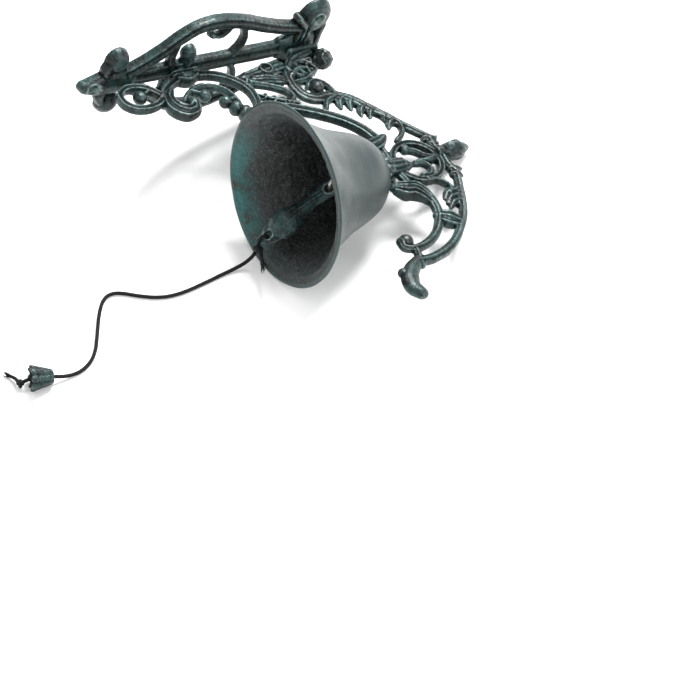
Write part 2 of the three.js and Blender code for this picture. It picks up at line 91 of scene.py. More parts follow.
CORD_RADIUS = 1.3
TIE_LOOP_RADIUS = 3.4
TIE_KNOT = (1.8, 2, -68.6)
TIE_KNOT_RADIUS = 4.2

# The cord's route over the table, in the row frame (mm), as the CAD has it.
CORD_ROUTE = [
    (11.1, -59.9, 13.3), (10.3, -61.7, 10.2), (9.2, -64.4, 7.1), (7.8, -68.7, 4.1), (6.4, -76, 2.1),
    (5.5, -85, 1.5), (5.2, -96, 1.5), (4.6, -106.5, 1.5), (3.4, -115, 1.5), (0.7, -123.2, 1.5),
    (-4, -130.8, 1.5), (-10.8, -138.4, 1.5), (-17.6, -145, 1.5), (-21.4, -150, 1.5),
    (-22.3, -155.2, 1.5), (-19.7, -160.2, 1.5), (-14.6, -164.8, 1.5), (-8.5, -169.2, 1.5),
    (-1.5, -173.6, 1.5), (5.6, -178, 1.5), (12.7, -182.7, 1.5), (18.7, -188.4, 1.5),
    (22.1, -194.2, 1.5), (23.5, -200, 1.5), (23.2, -206, 2), (22.2, -211, 3.2),
]
PULL_HEIGHT = 15.5
PULL_NARROW = 4.6
PULL_WIDE = 8.7
PULL_FLUTES = 8
PULL_SEGMENTS = 160
PULL_FOOT = (15.8, -231.3)
PULL_HEADING = math.radians(72.9)
END_KNOT = (12, -237, 4.2)
END_KNOT_RADIUS = 3.2
CORD_TIP = (-2.8, -240.8, 1.5)

# ---------------- camera

VIEW_AZIMUTH = math.radians(62.9)
VIEW_ELEVATION = math.radians(51.43)
VIEW_ROLL = math.radians(-6.04)
VIEW_DISTANCE = 1.4027
VIEW_AIM = Vector((0.1236, -0.0616, 0.040))
LENS = 119.09
SENSOR_WIDTH = 36
CLIP_START = 0.05


def make_camera():
    level = math.cos(VIEW_ELEVATION)
    back = Vector((math.sin(VIEW_AZIMUTH) * level, -math.cos(VIEW_AZIMUTH) * level,
                   math.sin(VIEW_ELEVATION)))
    right = (-back).cross(Vector((0, 0, 1))).normalized()
    up = right.cross(-back)
    rolled_right = right * math.cos(VIEW_ROLL) + up * math.sin(VIEW_ROLL)
    rolled_up = rolled_right.cross(-back)
    turn = Matrix((rolled_right, rolled_up, back)).transposed().to_4x4()
    data = bpy.data.cameras.new("camera")
    data.sensor_width = SENSOR_WIDTH
    data.lens = LENS
    data.clip_start = CLIP_START
    camera = bpy.data.objects.new("camera", data)
    camera.matrix_world = Matrix.Translation(VIEW_AIM + back * VIEW_DISTANCE) @ turn
    bpy.context.collection.objects.link(camera)
    bpy.context.scene.camera = camera


# ---------------- frames

def mount(name):
    return next(m for m in frame["record"]["mounts"] if m["name"] == name)


def find_casting_matrix():
    """From the hung bell's own millimetres to the row frame, in metres."""
    x_axis = -Vector(mount("wall_face")["axis"]).normalized()
    across = Vector(mount("screw_seat_right")["pos_m"]) - Vector(mount("screw_seat_left")["pos_m"])
    y_axis = (across - x_axis * across.dot(x_axis)).normalized()
    turn = Matrix((x_axis, y_axis, x_axis.cross(y_axis))).transposed()
    corner = Vector(mount("wall_face")["pos_m"]) - turn @ Vector(WALL_FACE_AT) * MM
    return Matrix.Translation(corner) @ turn.to_4x4() @ Matrix.Scale(MM, 4)


CASTING = find_casting_matrix()
HANGING = CASTING @ Matrix.Translation((BELL_X, 0, EYE_Z)) @ Matrix.Rotation(CLAPPER_REST, 4, "X")
TABLE = Matrix.Scale(MM, 4)


# ---------------- lines

def spline(points, step, closed=False):
    """A smooth line through the points, about a step apart, and each point's share of the way."""
    knots = np.asarray(points, float)
    if closed:
        knots = np.vstack([knots[-1], knots, knots[0], knots[1]])
    else:
        knots = np.vstack([2 * knots[0] - knots[1], knots, 2 * knots[-1] - knots[-2]])
    pieces, shares = [], []
    spans = len(knots) - 3
    for index in range(spans):
        before, start, end, after = knots[index:index + 4]
        gaps = [max(np.linalg.norm(b - a), 1e-6) ** 0.5 for a, b in
                ((before, start), (start, end), (end, after))]
        leave = (start - before) / gaps[0] - (end - before) / (gaps[0] + gaps[1])
        leave = (leave + (end - start) / gaps[1]) * gaps[1]
        arrive = (end - start) / gaps[1] - (after - start) / (gaps[1] + gaps[2])
        arrive = (arrive + (after - end) / gaps[2]) * gaps[1]
        count = max(2, math.ceil(np.linalg.norm(end - start) / step))
        t = np.linspace(0, 1, count, endpoint=False)[:, None]
        pieces.append(
            (2 * t**3 - 3 * t**2 + 1) * start + (t**3 - 2 * t**2 + t) * leave
            + (3 * t**2 - 2 * t**3) * end + (t**3 - t**2) * arrive)
        shares.append((index + t[:, 0]) / spans)
    if not closed:
        pieces.append(knots[-2:-1])
        shares.append([1.0])
    return np.vstack(pieces), np.concatenate(shares)


def along_line(share, values):
    """A number, or the numbers spread evenly over the line, at each share of the way."""
    values = np.atleast_1d(np.asarray(values, float))
    return np.interp(share, np.linspace(0, 1, len(values)), values)


def unit(vectors):
    return vectors / np.maximum(np.linalg.norm(vectors, axis=-1, keepdims=True), 1e-12)


def around(count):
    """The angles of one turn in equal steps."""
    return np.linspace(0, 2 * math.pi, count, endpoint=False)


def circle(a, b, radius, count):
    """Points round a circle, the last on top of the first."""
    return [(a + radius * math.cos(t), b + radius * math.sin(t))
            for t in np.linspace(0, 2 * math.pi, count)]


def ball_grid(radii):
    """A ball in rings about its third axis, as the grids of its three coordinates."""
    polar = np.linspace(0.12, math.pi - 0.12, 13)[:, None]
    angle = around(20)[None]
    return (radii[0] * np.cos(angle) * np.sin(polar), radii[1] * np.sin(angle) * np.sin(polar),
            radii[2] * np.cos(polar) + 0 * angle)


def grid_faces(rows, columns, closed_rows=False):
    """The faces of a grid of rings, with shut ends unless its rows close too."""
    faces = []
    for row in range(rows if closed_rows else rows - 1):
        low, high = row * columns, (row + 1) % rows * columns
        for column in range(columns):
            beside = (column + 1) % columns
            faces.append((low + column, low + beside, high + beside, high + column))
    if not closed_rows:
        last = (rows - 1) * columns
        faces += [list(range(columns))[::-1], list(range(last, last + columns))]
    return faces


# ---------------- clay: shells melted together

# The two drawing planes, as the directions of a, b and depth.
ARM_PLANE = np.array([[1, 0, 0], [0, 0, 1], [0, 1, 0]], float)
PLATE_PLANE = np.array([[0, 1, 0], [0, 0, 1], [1, 0, 0]], float)

# Half sections of a bar, from its edge to its middle: share of the half width, share of the depth.
ROUND = ((1, 0), (0.92, 0.38), (0.71, 0.71), (0.38, 0.92), (0, 1))
CHANNEL = ((1, 0), (1, 0.5), (0.9, 0.86), (0.72, 1), (0.52, 0.94), (0.36, 0.76), (0, 0.72))
RIDGE = ((1, 0), (0.98, 0.4), (0.84, 0.68), (0.62, 0.66), (0.42, 0.7), (0.2, 0.94), (0, 1))
# Outline of a round pad, from its foot to its middle: share of the radius, share of the height.
PAD = ((1, -0.1), (1, 0.12), (0.95, 0.36), (0.85, 0.62), (0.66, 0.85), (0.4, 0.97), (0.05, 1))
STROKE_STEP = 1.2
STROKE_CAPS = np.radians([30, 55, 75, 88])


def two_sided(half):
    """A section that is the same on both sides of the drawing plane."""
    top = [(u / 2, v / 2) for u, v in half]
    top += [(-u, v) for u, v in reversed(top[:-1])]
    return np.array(top + [(u, -v) for u, v in reversed(top[1:-1])])


def flat_backed(half):
    """A section that stands on the drawing plane with straight sides."""
    top = [(0.5, 0.0)] + [(u / 2, 0.45 + 0.55 * v) for u, v in half]
    return np.array(top + [(-u, v) for u, v in reversed(top[:-1])])


class Clay:
    """Closed, overlapping shells in millimetres that are melted into one casting."""

    def __init__(self, plane, make_section):
        self.plane = plane
        self.make_section = make_section
        self.points = []
        self.faces = []
        self.total = 0

    def add(self, *grids, plane=None):
        """Adds a shell from the grids of its three coordinates, turned into the plane if given."""
        rings = np.dstack(grids) if plane is None else np.dstack(grids) @ plane
        self.faces += [[i + self.total for i in face] for face in grid_faces(*rings.shape[:2])]
        self.points.append(rings.reshape(-1, 3))
        self.total += rings.shape[0] * rings.shape[1]

    def stroke(self, points, width, depth, half=ROUND, lift=0.0):
        """A bar along a smooth line in the drawing plane; its width, depth and lift may vary."""
        line, share = spline(points, STROKE_STEP)
        along = unit(np.gradient(line, axis=0))
        widths = along_line(share, width)
        depths = along_line(share, depth)
        size = np.ones(len(line))
        for end, sign in ((0, -1), (-1, 1)):
            caps = STROKE_CAPS[::sign]
            count = len(caps)
            reach = sign * widths[end] / 2 * np.sin(caps)[:, None]
            parts = [line[end] + along[end] * reach, np.repeat(along[end][None], count, 0),
                     np.repeat(widths[end], count), np.repeat(depths[end], count), np.cos(caps),
                     np.repeat(share[end], count)]
            whole = [line, along, widths, depths, size, share]
            line, along, widths, depths, size, share = [
                np.concatenate((part, old)[::-sign]) for part, old in zip(parts, whole)]
        side = np.column_stack([-along[:, 1], along[:, 0]])
        section = self.make_section(half)
        across = section[:, 0] * (widths * size)[:, None]
        deep = section[:, 1] * (depths * size)[:, None] + along_line(share, lift)[:, None]
        flat = line[:, None] + side[:, None] * across[..., None]
        self.add(flat, deep[..., None], plane=self.plane)

    def blob(self, a, b, radius_a, radius_b, height, turn=0.0, lift=0.0):
        """A flattened ball, its middle lifted from the drawing plane."""
        u, v, deep = ball_grid((radius_a, radius_b, height))
        across = a + u * math.cos(turn) - v * math.sin(turn)
        upward = b + u * math.sin(turn) + v * math.cos(turn)
        self.add(across, upward, deep + lift, plane=self.plane)

    def ribbed(self, points, width, depth, ribs, half=ROUND):
        """A leaf body with ribs that part at its root and meet again at its tip."""
        self.stroke(points, [w * 0.86 for w in width], [d * 0.8 for d in depth], half)
        line = np.asarray(points, float)
        along = unit(np.gradient(line, axis=0))
        side = np.column_stack([-along[:, 1], along[:, 0]])
        for rib in np.linspace(-0.36, 0.36, ribs):
            offset = side * (np.asarray(width) * rib)[:, None]
            self.stroke(line + offset, [w * 0.72 / ribs for w in width],
                        [d * (1 - 0.5 * abs(rib)) for d in depth])

    def frond(self, spine, width, depth, lobes):
        """An acanthus leaf: a midrib with pairs of curled lobes that shorten towards the tip."""
        line, _ = spline(spine, 1.0)
        along = unit(np.gradient(line, axis=0))
        self.stroke(spine, [width * 0.5, width * 0.42, width * 0.12], [depth, depth, depth * 0.5])
        for lobe in range(lobes):
            place = int((lobe + 0.45) / lobes * 0.86 * len(line))
            length = width * (0.8 - 0.4 * lobe / lobes)
            for hand in (-1, 1):
                out = np.array([-along[place, 1], along[place, 0]]) * hand
                bend = line[place] + out * length * 0.6 + along[place] * length * 0.2
                tip = line[place] + out * length * 0.78 + along[place] * length * 0.85
                self.stroke([line[place], bend, tip], [length * 0.42, length * 0.5, length * 0.16],
                            [depth * 0.9, depth * 0.85, depth * 0.3])

    def swirled_ball(self, a, b, radius, height, arms):
        """A flattened ball with curved ridges that turn out from its middle on both faces."""
        self.blob(a, b, radius, radius, height)
        for hand in (-1, 1):
            self.blob(a, b, radius * 0.24, radius * 0.24, height * 0.14, 0, hand * height)
            for arm in range(arms):
                turns = 2 * math.pi * arm / arms + np.array([0, 0.35, 0.9])
                reaches = radius * np.array([0.22, 0.55, 0.9])
                line = [(a + r * math.cos(t), b + r * math.sin(t)) for r, t in zip(reaches, turns)]
                lifts = [hand * height * share for share in (0.9, 0.74, 0.36)]
                self.stroke(line, [1.6, 2.6, 2.2], [2.2, 2.6, 2.2], ROUND, lifts)

    def disc(self, a, b, radius, height):
        """A round pad that stands on the drawing plane, with a soft rim."""
        share = np.array(PAD)
        angle = around(40)
        reach = radius * share[:, :1]
        self.add(a + reach * np.cos(angle), b + reach * np.sin(angle),
                 height * share[:, 1:] + 0 * angle, plane=self.plane)

    def bar(self, points, width, share=1, half=RIDGE):
        """A stroke whose depth is a share of the bracket's."""
        self.stroke(points, width, ARM_DEPTH * np.asarray(share), half)

    def claw(self, root, tip, width):
        """A hooked acanthus tooth."""
        root, tip = np.array(root, float), np.array(tip, float)
        reach = tip - root
        bend = root + reach * 0.5 + np.array([reach[1], -reach[0]]) * 0.16
        self.stroke([root, bend, tip], [width, width * 0.95, width * 0.4],
                    [ARM_DEPTH, ARM_DEPTH, 3.2], RIDGE)

    def turned(self, profile, x, flutes, cut):
        """A fluted body turned about the upright line at x; its outline is given as (radius, z)."""
        line = np.asarray(profile, float)
        angle = around(72)
        radius = line[:, :1] * (1 - cut * (0.5 - 0.5 * np.cos(flutes * angle)))
        self.add(x + radius * np.cos(angle), radius * np.sin(angle), line[:, 1:] + 0 * angle)

    def ball(self, x, y, z, radii):
        """A free ball, of its own radii along x, y and z."""
        self.add(*(middle + grid for middle, grid in zip((x, y, z), ball_grid(radii))))


# ---------------- meshes

def link(name, mesh):
    obj = bpy.data.objects.new(name, mesh)
    bpy.context.collection.objects.link(obj)
    return obj


def applied(obj):
    """The object's mesh with its modifiers applied."""
    bpy.context.view_layer.update()
    graph = bpy.context.evaluated_depsgraph_get()
    mesh = bpy.data.meshes.new_from_object(obj.evaluated_get(graph))
    obj.modifiers.clear()
    obj.data = mesh
    return mesh


def melt(clay, name, voxel, rounds=2):
    """One mesh round all the shells, still in millimetres."""
    mesh = bpy.data.meshes.new(name)
    mesh.from_pydata(np.vstack(clay.points).tolist(), [], clay.faces)
    obj = link(name, mesh)
    remesh = obj.modifiers.new("remesh", "REMESH")
    remesh.mode = "VOXEL"
    remesh.voxel_size = voxel
    smooth = obj.modifiers.new("smooth", "SMOOTH")
    smooth.factor = 0.5
    smooth.iterations = rounds
    applied(obj)
    return obj


def heal(mesh, weld=0.0):
    """Turns every face outwards, after welding the slivers that a cut leaves."""
    shell = bmesh.new()
    shell.from_mesh(mesh)
    if weld:
        bmesh.ops.remove_doubles(shell, verts=shell.verts, dist=weld)
        bmesh.ops.dissolve_degenerate(shell, edges=shell.edges, dist=weld)
        bmesh.ops.triangulate(shell, faces=[f for f in shell.faces if len(f.verts) > 4])
    bmesh.ops.recalc_face_normals(shell, faces=shell.faces)
    shell.to_mesh(mesh)
    shell.free()


def store(mesh, name, values):
    """Keeps a number for each point."""
    attribute = mesh.attributes.new(name, "FLOAT", "POINT")
    attribute.data.foreach_set("value", values.astype(np.float32))


def positions(mesh):
    return np.array([v.co for v in mesh.vertices], float).reshape(-1, 3)


def set_positions(mesh, places):
    mesh.vertices.foreach_set("co", np.asarray(places, np.float32).ravel())
    mesh.update()


def normals(mesh):
    found = np.empty(len(mesh.vertices) * 3, np.float32)
    mesh.vertex_normals.foreach_get("vector", found)
    return found.reshape(-1, 3).astype(float)


def grain(places, size, seed):
    """Smooth noise of about the given grain size at each place."""
    shift = Vector((seed * 17.3, seed * 5.1, seed * 9.7))
    return np.array([noise.noise(Vector(p) / size + shift) for p in places])


def roughen(obj, coats):
    """Pushes the surface in and out; each coat is a grain size and a height, in millimetres."""
    mesh = obj.data
    places = positions(mesh)
    height = sum(depth * grain(places, size, seed) for seed, (size, depth) in enumerate(coats, 1))
    set_positions(mesh, places + normals(mesh) * height[:, None])


def neighbour_mean(values, edges, degree):
    total = np.zeros_like(values)
    for axis in range(values.shape[1]):
        for near, far in ((0, 1), (1, 0)):
            weights = values[edges[:, far], axis]
            total[:, axis] += np.bincount(edges[:, near], weights, len(values))
    return total / degree[:, None]


def mark_edges(obj, rounds=7, gain=0.45):
    """Stores on each point 1 where the surface is a sharp edge, 0.5 if flat and 0 in a hollow."""
    mesh = obj.data
    places = positions(mesh)
    edges = np.empty(len(mesh.edges) * 2, np.int32)
    mesh.edges.foreach_get("vertices", edges)
    edges = edges.reshape(-1, 2)
    degree = np.maximum(np.bincount(edges.ravel(), minlength=len(places)), 1).astype(float)
    relaxed = places
    for _ in range(rounds):
        relaxed = neighbour_mean(relaxed, edges, degree)
    bulge = ((places - relaxed) * normals(mesh)).sum(1)
    store(mesh, "edge", np.clip(0.5 + bulge / (2 * gain), 0, 1))


def place(obj, matrix, body, slot, materials, node):
    """Puts a piece into the row frame, none of it under the table, in its CAD node's place."""
    mesh = obj.data
    mesh.transform(matrix)
    resting = positions(mesh)
    resting[:, 2] = np.maximum(resting[:, 2], 0)
    set_positions(mesh, resting)
    mesh.shade_smooth()
    mesh.materials.clear()
    for material in materials:
        mesh.materials.append(material)
    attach(obj, body)
    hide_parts(node)


def grid_object(name, rings, closed_rows=False, unwrap=False):
    """A mesh from a grid of rings, with shut ends unless its rows close too."""
    rows, columns = rings.shape[:2]
    mesh = bpy.data.meshes.new(name)
    mesh.from_pydata(rings.reshape(-1, 3).tolist(), [], grid_faces(rows, columns, closed_rows))
    heal(mesh)
    if unwrap:
        layer = mesh.uv_layers.new(name="UVMap")
        corners = np.array([loop.vertex_index for loop in mesh.loops])
        column = (corners % columns) / columns
        row = (corners // columns) / rows
        first = np.array([p.loop_start for p in mesh.polygons for _ in p.loop_indices])
        wrapped = (column == 0) & (column[first] > 0.5)
        uvs = np.column_stack([np.where(wrapped, 1.0, column), row])
        layer.data.foreach_set("uv", uvs.astype(np.float32).ravel())
    return link(name, mesh)


# ---------------- materials

class Paint:
    """A small helper that wires a procedural material."""

    def __init__(self, name, roughness=0.5, metallic=0.0):
        self.material = bpy.data.materials.new(name)
        self.material.use_nodes = True
        self.tree = self.material.node_tree
        self.shader = self.tree.nodes["Principled BSDF"]
        self.shader.inputs["Roughness"].default_value = roughness
        self.shader.inputs["Metallic"].default_value = metallic

    def node(self, kind, **inputs):
        made = self.tree.nodes.new(kind)
        for key, value in inputs.items():
            self.feed(made.inputs[key.replace("_", " ")], value)
        return made

    def feed(self, socket, value):
        if isinstance(value, bpy.types.NodeSocket):
            self.tree.links.new(value, socket)
        else:
            socket.default_value = value

    def places(self, stretch=(1, 1, 1), uv=False):
        source = self.node("ShaderNodeTexCoord").outputs["UV" if uv else "Object"]
        return self.node("ShaderNodeMapping", Vector=source, Scale=stretch).outputs["Vector"]

    def noise(self, size_mm, detail=3.0, roughness=0.55, where=None):
        """Noise whose blotches are about the given size."""
        made = self.node("ShaderNodeTexNoise", Scale=1000.0 / size_mm, Detail=detail,
                         Roughness=roughness, Vector=where or self.places())
        return made.outputs["Fac"]

    def attribute(self, name):
        made = self.tree.nodes.new("ShaderNodeAttribute")
        made.attribute_name = name
        return made.outputs["Fac"]

    def math(self, operation, first, second=0.0):
        made = self.tree.nodes.new("ShaderNodeMath")
        made.operation = operation
        self.feed(made.inputs[0], first)
        self.feed(made.inputs[1], second)
        return made.outputs[0]

    def between(self, value, low, high, out_low=0.0, out_high=1.0):
        made = self.tree.nodes.new("ShaderNodeMapRange")
        made.interpolation_type = "SMOOTHSTEP"
        for socket, entry in zip(made.inputs, (value, low, high, out_low, out_high)):
            self.feed(socket, entry)
        return made.outputs[0]

    def mix(self, share, first, second):
        made = self.tree.nodes.new("ShaderNodeMix")
        made.data_type = "RGBA"
        self.feed(made.inputs[0], share)
        for socket, value in ((made.inputs[6], first), (made.inputs[7], second)):
            self.feed(socket, value if isinstance(value, bpy.types.NodeSocket) else (*value, 1))
        return made.outputs[2]

    def coats(self, color, *coats):
        """Lays coats over a colour; each is what between() takes, and the coat's colour."""
        for *mask, coat in coats:
            color = self.mix(self.between(*mask), color, coat)
        return color

    def finish(self, color, roughness=None, bumps=()):
        """Roughness is what between() takes; bumps are (height, millimetres, strength)."""
        self.feed(self.shader.inputs["Base Color"], color)
        if roughness is not None:
            self.feed(self.shader.inputs["Roughness"], self.between(*roughness))
        normal = None
        for height, distance, strength in bumps:
            made = self.node("ShaderNodeBump", Height=height, Strength=strength,
                             Distance=distance * MM)
            if normal is not None:
                self.feed(made.inputs["Normal"], normal)
            normal = made.outputs["Normal"]
        if normal is not None:
            self.feed(self.shader.inputs["Normal"], normal)
        return self.material


# Colours of the finishes, linear.
DARK_IRON = (0.003, 0.0055, 0.0058)
SEA_GREEN = (0.011, 0.036, 0.034)
# PALE_GREEN laid on edges is partly worn patina, partly a painted highlight.
PALE_GREEN = (0.11, 0.17, 0.16)
BARE_BACK = (0.085, 0.083, 0.075)
BARE_DARK = (0.022, 0.022, 0.02)
BELL_TEAL = (0.008, 0.095, 0.09)


def verdigris(name, dark=DARK_IRON, green=SEA_GREEN, pale=PALE_GREEN):
    """Sand cast iron with green rubbed on; its hollows are darkened as painted shade, and its edges
    are pale, partly as rubbed patina and partly as a painted highlight.
    """
    paint = Paint(name, metallic=0.25)
    edge = paint.attribute("edge")
    cloud = paint.noise(16, 4)
    mottle = paint.noise(3.2, 5)
    speck = paint.noise(0.75, 4, 0.65)
    greened = paint.math("ADD", paint.between(cloud, 0.38, 0.62),
                         paint.between(mottle, 0.4, 0.65, -0.3, 0.3))
    # Less green towards the hollows, so they fall to the dark base: painted shade.
    greened = paint.math("MULTIPLY", greened, paint.between(edge, 0.3, 0.62, 0.05, 0.95))
    color = paint.mix(greened, dark, green)
    # Pale along the edges: partly rubbed patina, partly a painted highlight.
    rub_and_highlight = paint.math("MULTIPLY", paint.between(edge, 0.62, 1), paint.between(mottle, 0.32, 0.6))
    color = paint.mix(rub_and_highlight, color, pale)
    flecks = paint.math("MULTIPLY", paint.between(speck, 0.56, 0.7), 0.22)
    color = paint.mix(flecks, color, pale)
    # Weaker reflections in the hollows: painted shade on the specular.
    shine = paint.between(edge, 0.32, 0.68, 0.05, 0.5)
    paint.feed(paint.shader.inputs["Specular IOR Level"], shine)
    return paint.finish(color, (speck, 0.35, 0.65, 0.22, 0.42),
                        ((mottle, 0.5, 0.45), (speck, 0.25, 0.6)))


def bare_back():
    """The plate's ground back: dull grey brown iron that the green never reached."""
    paint = Paint("bare_back", metallic=0.2)
    cloud = paint.noise(22, 4)
    speck = paint.noise(0.8, 5, 0.7)
    pits = paint.noise(1.6, 3, 0.6)
    color = paint.coats((0.06, 0.062, 0.058), (cloud, 0.35, 0.65, BARE_BACK),
                        (speck, 0.4, 0.66, 0, 0.75, BARE_DARK),
                        (pits, 0.36, 0.46, 0.5, 0, BARE_DARK))
    return paint.finish(color, (speck, 0.3, 0.7, 0.5, 0.75), ((speck, 0.3, 0.6),))


def bell_outside():
    """Pale grey green patina brushed round the bell over dark iron; darker towards the crown as
    painted shade, and pale on its edges, partly as worn patina and partly as a painted highlight.
    """
    paint = Paint("bell_outside", metallic=0.3)
    edge = paint.attribute("edge")
    cloud = paint.noise(20, 4)
    streak = paint.noise(1, 4, 0.6, paint.places((0.012, 0.55, 1), uv=True))
    speck = paint.noise(0.7, 4, 0.65)
    near_lip = paint.attribute("near_lip")
    share = paint.math("ADD", paint.between(cloud, 0.34, 0.66, 0.08, 0.85),
                       paint.between(streak, 0.35, 0.65, -0.25, 0.25))
    color = paint.coats(
        paint.mix(share, (0.028, 0.037, 0.037), (0.075, 0.09, 0.089)),
        # Darker towards the crown: painted shade.
        (near_lip, 0, 0.85, 0.8, 0, (0.02, 0.032, 0.032)),
        (speck, 0.48, 0.66, 0, 0.6, (0.02, 0.028, 0.028)),
        # Pale on the edges: partly worn patina, partly a painted highlight; the lip's flat face is
        # its own darker teal.
        (edge, 0.7, 1, 0, 0.7, PALE_GREEN), (near_lip, 0.982, 0.99, 0, 0.85, (0.014, 0.03, 0.029)))
    return paint.finish(color, (speck, 0.3, 0.7, 0.34, 0.5),
                        ((streak, 0.1, 0.3), (speck, 0.14, 0.5)))


def bell_inside():
    """Rough dark sand casting, with bright teal left near the lip."""
    paint = Paint("bell_inside", metallic=0.25)
    streak = paint.attribute("teal")
    cloud = paint.noise(9, 4)
    mottle = paint.noise(6, 5)
    speck = paint.noise(1.3, 4, 0.7)
    color = paint.coats((0.01, 0.0115, 0.012), (mottle, 0.35, 0.65, (0.02, 0.0235, 0.0245)))
    wash = paint.math("MULTIPLY", paint.between(cloud, 0.3, 0.55), streak)
    color = paint.mix(wash, color, BELL_TEAL)
    color = paint.coats(color, (speck, 0.5, 0.64, 0, 0.6, (0.11, 0.125, 0.122)))
    return paint.finish(color, (speck, 0.35, 0.65, 0.28, 0.5),
                        ((mottle, 0.5, 0.3), (speck, 0.4, 0.9)))


def dull_steel():
    """Zinc plated steel with a fine brushed grain."""
    paint = Paint("dull_steel", metallic=0.9)
    grain_marks = paint.noise(0.5, 4, 0.6, paint.places((1, 1, 0.15)))
    stain = paint.noise(5, 4)
    color = paint.coats((0.3, 0.29, 0.26), (stain, 0.35, 0.7, (0.48, 0.47, 0.44)),
                        (grain_marks, 0.55, 0.75, 0, 0.4, (0.12, 0.11, 0.1)))
    return paint.finish(color, (grain_marks, 0.3, 0.7, 0.3, 0.45), ((grain_marks, 0.05, 0.4),))


def black_cord():
    """Matt black braided cord, a little paler where its strands stand out and darkest between them:
    a painted sheen and painted shade.
    """
    paint = Paint("black_cord", roughness=0.72)
    paint.shader.inputs["Specular IOR Level"].default_value = 0.2
    edge = paint.attribute("edge")
    fibre = paint.noise(0.35, 4, 0.7)
    # Paler on the raised strands, darkest between them: painted sheen and painted shade.
    color = paint.coats((0.002, 0.002, 0.0025), (edge, 0.45, 0.8, (0.008, 0.0085, 0.009)),
                        (fibre, 0.55, 0.75, 0, 0.4, (0.022, 0.023, 0.024)))
    return paint.finish(color, None, ((fibre, 0.08, 0.6),))


# ---------------- wall plate

RAIL = [
    (17, -24), (21, -42), (27, -60), (32.5, -75), (36, -90), (36.7, -102), (34.5, -113),
    (28.5, -124), (20, -135), (13, -146), (6, -160),
]
UPPER_CROSS = [(4, -76), (11, -71), (19, -69.5), (28, -73)]
RAIL_HOOK = [(34, -84), (28, -86.5), (24, -91), (25, -97)]
LOWER_CROSS = [(3, -125.5), (14, -126.5), (26, -124.5)]
FOOT_SCROLL = [(4, -176), (12, -177.5), (19.5, -172)]
LOBE_CENTRE = (23.5, -11.5)
LOBE_RADIUS = 14
FLAT_BACK = 0.55


def plate_clay():
    clay = Clay(PLATE_PLANE, flat_backed)
    thick = PLATE_THICKNESS
    for hand in (1, -1):
        for points, width, share, half in (
                (RAIL, 9.5, 1, RIDGE), (UPPER_CROSS, 5, 0.8, ROUND),
                (RAIL_HOOK, [5.5, 5, 4, 3.5], 0.8, ROUND), (LOWER_CROSS, 6, 0.8, ROUND),
                (FOOT_SCROLL, [6, 7, 7.5], 0.9, ROUND),
                ([(0, -113.5), (12, -112.5)], 9, 0.8, ROUND),
                ([(0, -5), (8, -5), (16, -4)], 8, 0.9, ROUND),
                ([(19, -21), (26, -27)], [7, 6], 1.1, ROUND)):
            clay.stroke([(hand * a, b) for a, b in points], width, thick * share, half)
        clay.disc(hand * LOBE_CENTRE[0], LOBE_CENTRE[1], LOBE_RADIUS, thick * 0.95)
        clay.disc(hand * 24.6, -11, 6, thick * 1.2)
        for rise in (0, 4, 8):
            line = [(5, -26), (12, -25), (19 - rise / 2, -22.5)]
            clay.stroke([(hand * a, b + rise) for a, b in line], [3, 4, 2.4],
                        [thick, thick * 1.12, thick * 0.9])
        clay.disc(hand * 12.5, -112.5, 6, thick * 0.9)
        clay.blob(hand * 18, -170, 9.6, 9, thick * 1.15)
        clay.blob(hand * 25, -97.5, 3, 3, thick * 0.8)
    clay.stroke([(0, -16), (0, -22), (0, -32)], [26, 34, 20], thick)
    clay.stroke([(0, -20), (0, -90), (0, -165)], 12.4, thick * 0.85, RIDGE)
    clay.stroke([(0, -158), (0, -168), (0, -180), (0, -192)], [14, 18, 18, 9], thick * 1.1)
    clay.stroke([(-6, -160), (6, -160)], 4, thick * 1.05)
    return clay


def bore(obj, cutters):
    """Cuts closed shells, given as rings of points, out of a piece."""
    for index, rings in enumerate(cutters):
        tool = grid_object(f"tool_{index}", rings)
        boolean = obj.modifiers.new("bore", "BOOLEAN")
        boolean.operation = "DIFFERENCE"
        boolean.solver = "EXACT"
        boolean.object = tool
        applied(obj)
        bpy.data.objects.remove(tool)
    heal(obj.data, 0.004)


def rod_rings(y, z, stations, sides=40):
    """The rings of a rod along x at y, z; the stations are (x, radius)."""
    angle = around(sides)
    return np.array([
        np.column_stack([np.full(sides, x), y + radius * np.cos(angle), z + radius * np.sin(angle)])
        for x, radius in stations])


def make_plate(iron, back):
    obj = melt(plate_clay(), "wall_plate_casting", 0.6)
    roughen(obj, ((9, 0.25), (2.2, 0.1), (1.0, 0.1)))
    places = positions(obj.data)
    places[places[:, 0] < FLAT_BACK, 0] = 0
    set_positions(obj.data, places)
    through = PLATE_THICKNESS + 4
    hole = MOUNT_HOLE_RADIUS
    cutters = [rod_rings(y, z, ((-2, hole), (through / 3, hole), (through, hole * 2.8)))
               for y, z in MOUNT_HOLES]
    recess = SCREW_HEAD_HEIGHT + 0.8
    head = SCREW_HEAD_RADIUS + 0.3
    shank = SCREW_SHANK_RADIUS + 0.4
    steps = ((-2, head), (recess, head), (recess + 0.01, shank), (through, shank))
    cutters += [rod_rings(0, z, steps) for z in PLATE_SCREWS_Z]
    bore(obj, cutters)
    mark_edges(obj)
    place(obj, CASTING, "casting", IRON, [iron, back], "wall_plate")
    wall = -Vector(mount("wall_face")["axis"])
    for face in obj.data.polygons:
        face.material_index = int(face.normal.dot(wall) < -0.9)


# ---------------- bracket

